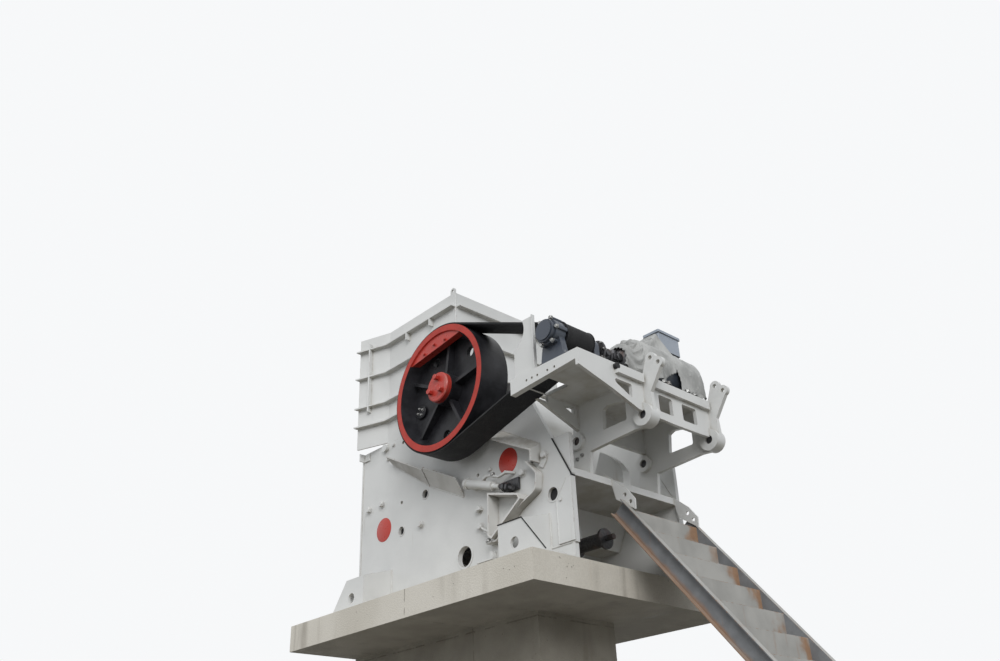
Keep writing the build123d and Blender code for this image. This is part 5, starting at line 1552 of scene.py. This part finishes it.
@dataclass
class StairFittings(Fittings):
    """Nosing strips, cleats and bolts of the access stair."""

    first_z: float = 4.547
    riser: float = 0.27
    count: int = 17

    def build(self) -> None:
        """Make the stair's fittings."""
        strips = Shape()
        going = self.riser / math.tan(STAIR_SLOPE)
        for step in range(self.count):
            z = self.first_z - step * self.riser
            nose = STAIR_HEAD_X + (step + 1) * going
            back = nose - going
            low, high = STAIR_NEAR + 0.012, STAIR_FAR - 0.012
            strips.block((nose - 0.045, low, z), (nose - 0.004, high, z + 0.003))
            for y in (STAIR_NEAR, STAIR_FAR):
                self.welds.add((back + 0.012, y, z + 0.001), (nose - 0.006, y, z + 0.001))
            for y in (STAIR_NEAR, STAIR_FAR - 0.04):
                strips.block((back + 0.01, y, z - 0.013), (nose - 0.012, y + 0.04, z - 0.0085))
        self.piece(strips, "nosing_strips", Slot.STAIR)
        for y, facing in ((STAIR_NEAR - 0.0095, NEAR), (STAIR_FAR + 0.0095, FAR)):
            self.bolts.add((2.05, y, 4.652), facing, 0.45)


@dataclass
class MotorCover:
    """Coated cloth over the motor, draped by simulation and parted below the terminal box."""

    finishes: Finishes
    arch_radius: float = 0.3
    front_leg: float = 0.745
    rear_leg: float = 0.66
    cone_y: float = -0.4
    tie_y: float = -0.556
    far_y: float = 0.65
    cone_length: float = 0.25
    cone_shoulder: float = 0.212
    flat_length: float = 1.385
    tie_radius: float = 0.14
    spacing: float = 0.0145
    box_x: Pair = (2.278, 2.502)
    box_y: Pair = (0.088, 0.482)
    climb_start: float = -0.23
    climb_height: float = 0.25
    climb_fall: float = 0.09
    slit_top: float = 0.42
    slit_y: float = 0.14
    slit_lean: float = -0.09
    slit_spread: float = 0.125
    fold_length: float = 0.15
    pleats: float = 57.0
    frames: int = 52

    def cells(self) -> tuple[int, int]:
        """Numbers of cells across the arch and along the motor."""
        width = self.front_leg + self.rear_leg
        return round(width / self.spacing), round(self.flat_length / self.spacing)

    def arch_point(self, along: float, radius: float) -> Pair:
        """X and Z of a point on the arch over the motor.

        Args:
            along: Distance over the arch from its crown, positive towards the discharge end.
            radius: Radius of the arch.

        Returns:
            X and Z of the point.
        """
        x, z = DRIVE_AXIS
        quarter = math.pi * self.arch_radius / 2
        if abs(along) < quarter:
            angle = along / self.arch_radius
            return x + radius * math.sin(angle), z + radius * math.cos(angle)
        return x + (1 if along > 0 else -1) * radius, z - (abs(along) - quarter)

    def fold(self, along: float, y: float) -> float:
        """Height of the starting folds, which fan out from the coupling and the box's corner.

        Args:
            along: Distance over the arch from its crown.
            y: Place along the motor.

        Returns:
            Height above the arch.
        """
        lean = 0.9 if y > 0.1 else -0.35
        down = ease(abs(along), 0.1, 0.6)
        turn = 2 * math.pi * (y - lean * max(0.0, abs(along) - 0.25)) / self.fold_length
        wave = 0.5 + 0.5 * math.sin(turn + 0.9 * math.sin(3.1 * y + 5.0 * along))
        fine = 0.5 + 0.5 * math.sin(2.3 * turn + 11.0 * along)
        near = ease(-y, 0.34, 0.46)
        pleat = 0.5 + 0.5 * math.sin(self.pleats * along + 1.3 * math.sin(7.0 * along))
        depth = 0.036 - 0.022 * ease(-y, 0.5, -self.tie_y)
        loose = (0.008 + 0.026 * down) * wave + 0.006 * down * fine
        return (1 - near) * loose + depth * near * pleat

    def climb(self, x: float, y: float) -> float:
        """Rise of the cloth where it leans against the near side of the terminal box."""
        middle = (self.box_x[0] + self.box_x[1]) / 2
        half = (self.box_x[1] - self.box_x[0]) / 2
        near = self.box_y[0]
        aside = 1 - ease(abs(x - middle), half - 0.02, half + self.climb_fall)
        behind = 1 - ease(y, near, near + 0.15)
        return self.climb_height * aside * behind * ease(y, self.climb_start, near - 0.01)

    def is_cut(self, along: float, x: float, y: float) -> bool:
        """Tell whether the cloth is cut away here, for the box or for the slit below it.

        Args:
            along: Distance over the arch from its crown.
            x: Place across the motor.
            y: Place along the motor.

        Returns:
            True where there is no cloth.
        """
        (x0, x1), (y0, y1) = self.box_x, self.box_y
        if x0 < x < x1 and y0 < y < y1 and abs(along) < 0.3:
            return True
        middle = self.slit_y + self.slit_lean * ease(along, self.slit_top, self.rear_leg)
        open_here = abs(y - middle) < self.slit_spread * ease(along, 0.4, 0.6)
        return along > self.slit_top and open_here

    def profile(self, length: float) -> Point:
        """Place, radius and closing of a row of the cloth before it falls.

        Args:
            length: Distance from the tied edge, measured over the flat cloth.

        Returns:
            Y of the row, its radius, and a share that is 1 where it wraps the coupling as a ring.
        """
        full = self.arch_radius + 0.014
        if length > self.cone_length:
            share = (length - self.cone_length) / (self.flat_length - self.cone_length)
            return self.cone_y + (self.far_y - self.cone_y) * share, full, 0.0
        inward = 1 - length / self.cone_length
        y = self.cone_y + (self.tie_y - self.cone_y) * min(1.0, inward * 1.06)
        shoulder = self.cone_shoulder
        if inward < 0.8:
            radius = full + (shoulder - full) * (inward / 0.8) ** 1.4
        else:
            radius = shoulder + (self.tie_radius - shoulder) * (inward - 0.8) / 0.2
        return y, radius, ease(inward, 0.0, 1.0)

    def start_mesh(self) -> tuple[Mesh, list[Point]]:
        """Grid of the cut cloth in its starting arch.

        Returns:
            The mesh in the arch, and the flat place of each of its points.
        """
        across, rows = self.cells()
        verts: list[Point] = []
        flat: list[Point] = []
        for row, column in product(range(rows + 1), range(across + 1)):
            length = self.flat_length * row / rows
            y, radius, closed = self.profile(length)
            along = -self.front_leg + (self.front_leg + self.rear_leg) * column / across
            reach = radius + self.fold(along, y)
            x, z = self.arch_point(along, reach)
            angle = along / self.arch_radius
            round_x = DRIVE_AXIS[0] + reach * math.sin(angle)
            round_z = DRIVE_AXIS[1] + reach * math.cos(angle)
            x, z = x + (round_x - x) * closed, z + (round_z - z) * closed
            verts.append((x, y, z + self.climb(x, y)))
            flat.append((along, length, 0.0))
        faces = []
        for row, column in product(range(rows), range(across)):
            first = row * (across + 1) + column
            corners = (first, first + 1, first + across + 2, first + across + 1)
            x, y, _ = (sum(verts[corner][part] for corner in corners) / 4 for part in range(3))
            if not self.is_cut(sum(flat[corner][0] for corner in corners) / 4, x, y):
                faces.append(corners)
        mesh = bpy.data.meshes.new("cover_start")
        mesh.from_pydata(verts, [], faces)
        return mesh, flat

    def obstacle(self) -> Object:
        """Solid that the cloth falls on: motor, coupling, feet, deck, box and bracket ears.

        Returns:
            The solid, which is removed after the simulation.
        """
        x, z = DRIVE_AXIS
        (x0, x1), (y0, y1) = self.box_x, self.box_y
        shape = Shape()
        barrel = [(0.25, 0.0), (0.29, 0.06), (0.29, 0.98), (0.26, 1.02)]
        shape.lathe((x, -0.42, z), FAR, barrel, 48)
        coupling = [(0.12, 0.0), (0.12, 0.152), (0.186, 0.166), (0.186, 0.282)]
        shape.lathe((x, -0.7, z), FAR, coupling, 40)
        for low, high in (
            ((1.7, -1.0, 5.7), (2.76, 0.7, 5.79)),
            ((x - 0.15, -0.33, 5.79), (x + 0.15, 0.51, 5.93)),
            ((x - 0.235, -0.32, 5.79), (x + 0.235, -0.12, 5.835)),
            ((x - 0.235, 0.3, 5.79), (x + 0.235, 0.5, 5.835)),
            ((2.33, 0.225, 6.3), (2.45, 0.345, 6.402)),
            ((x0 + 0.004, y0 + 0.004, 6.39), (x1 - 0.004, y1 - 0.004, 6.7)),
        ):
            shape.block(low, high)
        top = z + self.arch_radius + self.climb_height - 0.012
        shape.prism([(x0, -0.12, 6.34), (x0, y0, 6.34), (x0, y0, top)], (x1 - x0, 0.0, 0.0))
        for middle in (-0.555, 0.555):
            shape.block((2.722, middle - 0.035, 5.78), (2.85, middle + 0.035, 6.0))
        solid = add_object("cover_obstacle", shape.finish("cover_obstacle"))
        solid.modifiers.new("collision", "COLLISION")
        assign(solid.collision, thickness_outer=0.004, thickness_inner=0.04, cloth_friction=45)
        return solid

    def drape(self, cloth: Object, flat: list[Point]) -> None:
        """Let the cloth fall and keep the result in its mesh.

        Args:
            cloth: The cut cloth in its starting arch.
            flat: Flat place of each point, which gives the cloth its real lengths.
        """
        cloth.shape_key_add(name="Basis")
        cut = cloth.shape_key_add(name="cut")
        for point, place in zip(cut.data, flat):
            point.co = place
        cut.value = 0.0
        tied = cloth.vertex_groups.new(name="tied_edge")
        edge = [index for index, place in enumerate(flat) if place[1] < 0.5 * self.spacing]
        tied.add(edge, 1.0, "REPLACE")
        solid = self.obstacle()
        modifier = cloth.modifiers.new("drape", "CLOTH")
        assign(
            modifier.settings, rest_shape_key=cut, vertex_group_mass=tied.name, quality=6,
            mass=0.35, air_damping=1.5, tension_stiffness=18, compression_stiffness=10,
            shear_stiffness=6, bending_stiffness=0.06,
        )
        assign(modifier.collision_settings, distance_min=0.005, use_self_collision=False)
        assign(modifier.point_cache, frame_start=1, frame_end=self.frames)
        scene = bpy.context.scene
        for moment in range(1, self.frames + 1):
            scene.frame_set(moment)
        graph = bpy.context.evaluated_depsgraph_get()
        settled = bpy.data.meshes.new_from_object(cloth.evaluated_get(graph), depsgraph=graph)
        cloth.modifiers.remove(modifier)
        cloth.shape_key_clear()
        places = [part for vertex in settled.vertices for part in vertex.co]
        bpy.data.meshes.remove(settled)
        cloth.data.vertices.foreach_set("co", places)
        cloth.data.update()
        scene.frame_set(1)
        bpy.data.objects.remove(solid)

    def build(self) -> None:
        mesh, flat = self.start_mesh()
        cloth = add_object("cover_cloth_work", mesh)
        self.drape(cloth, flat)
        draped = cloth.data.copy()
        bpy.data.objects.remove(cloth)
        width = self.front_leg + self.rear_leg
        area = width * self.flat_length * len(draped.polygons) / math.prod(self.cells())
        work = bmesh.new()
        work.from_mesh(draped)
        loose = [vertex for vertex in work.verts if not vertex.link_faces]
        bmesh.ops.delete(work, geom=loose, context="VERTS")
        work.to_mesh(draped)
        work.free()
        draped.materials.append(self.finishes.by_slot[Slot.SHEET])
        cover = place_piece(draped, "cover_cloth", Body.CRUSHER)
        draped.shade_smooth()
        assign(cover.modifiers.new("smooth_folds", "SUBSURF"), levels=1, render_levels=1)
        assign(cover.modifiers.new("cloth_thickness", "SOLIDIFY"), thickness=0.002, offset=1.0)
        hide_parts("motor_cover")
        size = (width, self.flat_length, area)
        LOG.info("cover_cloth: %.2f by %.2f m flat, %.3f m2 of cloth", *size)


def main() -> None:
    """Build the studio and every sub-assembly, and report each piece."""
    logging.basicConfig(level=logging.INFO, format="%(name)s: %(message)s")
    Studio().build()
    finishes = Finishes()
    finishes.dress_nodes()
    zinc, by_slot = finishes.zinc, finishes.by_slot
    dark, white, red, casting, stair = (
        Slot.DARK_STEEL, Slot.WHITE, Slot.RED, Slot.JAW_STEEL, Slot.STAIR,
    )
    crusher, rotor, drive = Body
    frame_bolts = BoltSet("frame_bolts", crusher, white, by_slot[white])
    plain_bolts = BoltSet("plain_bolts", crusher, dark, zinc)
    rotor_bolts = BoltSet("rotor_bolts", rotor, dark, zinc)
    red_bolts = BoltSet("red_bolts", rotor, red, by_slot[red], head_height=0.034)
    drive_bolts = BoltSet("drive_bolts", drive, dark, zinc)
    liner_bolts = BoltSet("liner_bolts", crusher, casting, by_slot[casting], head_height=0.008)
    frame_welds = WeldSet("frame_welds", crusher, white, by_slot[white])
    stair_welds = WeldSet("stair_welds", crusher, stair, by_slot[stair], radius=0.006, step=0.03)
    FrameFittings(finishes, frame_bolts, frame_welds).build()
    HopperFittings(finishes, liner_bolts, frame_welds).build()
    AdjusterFittings(finishes, plain_bolts, frame_welds).build()
    RotorFittings(finishes, rotor_bolts, red_bolts=red_bolts).build()
    BracketFittings(finishes, plain_bolts, frame_welds).build()
    DriveFittings(finishes, drive_bolts).build()
    MotorFittings(finishes, plain_bolts).build()
    StairFittings(finishes, plain_bolts, stair_welds).build()
    for repeated in (
        frame_bolts, plain_bolts, rotor_bolts, red_bolts, drive_bolts, liner_bolts, frame_welds,
        stair_welds,
    ):
        repeated.build()
    MotorCover(finishes).build()


if __name__ == "__main__":
    main()
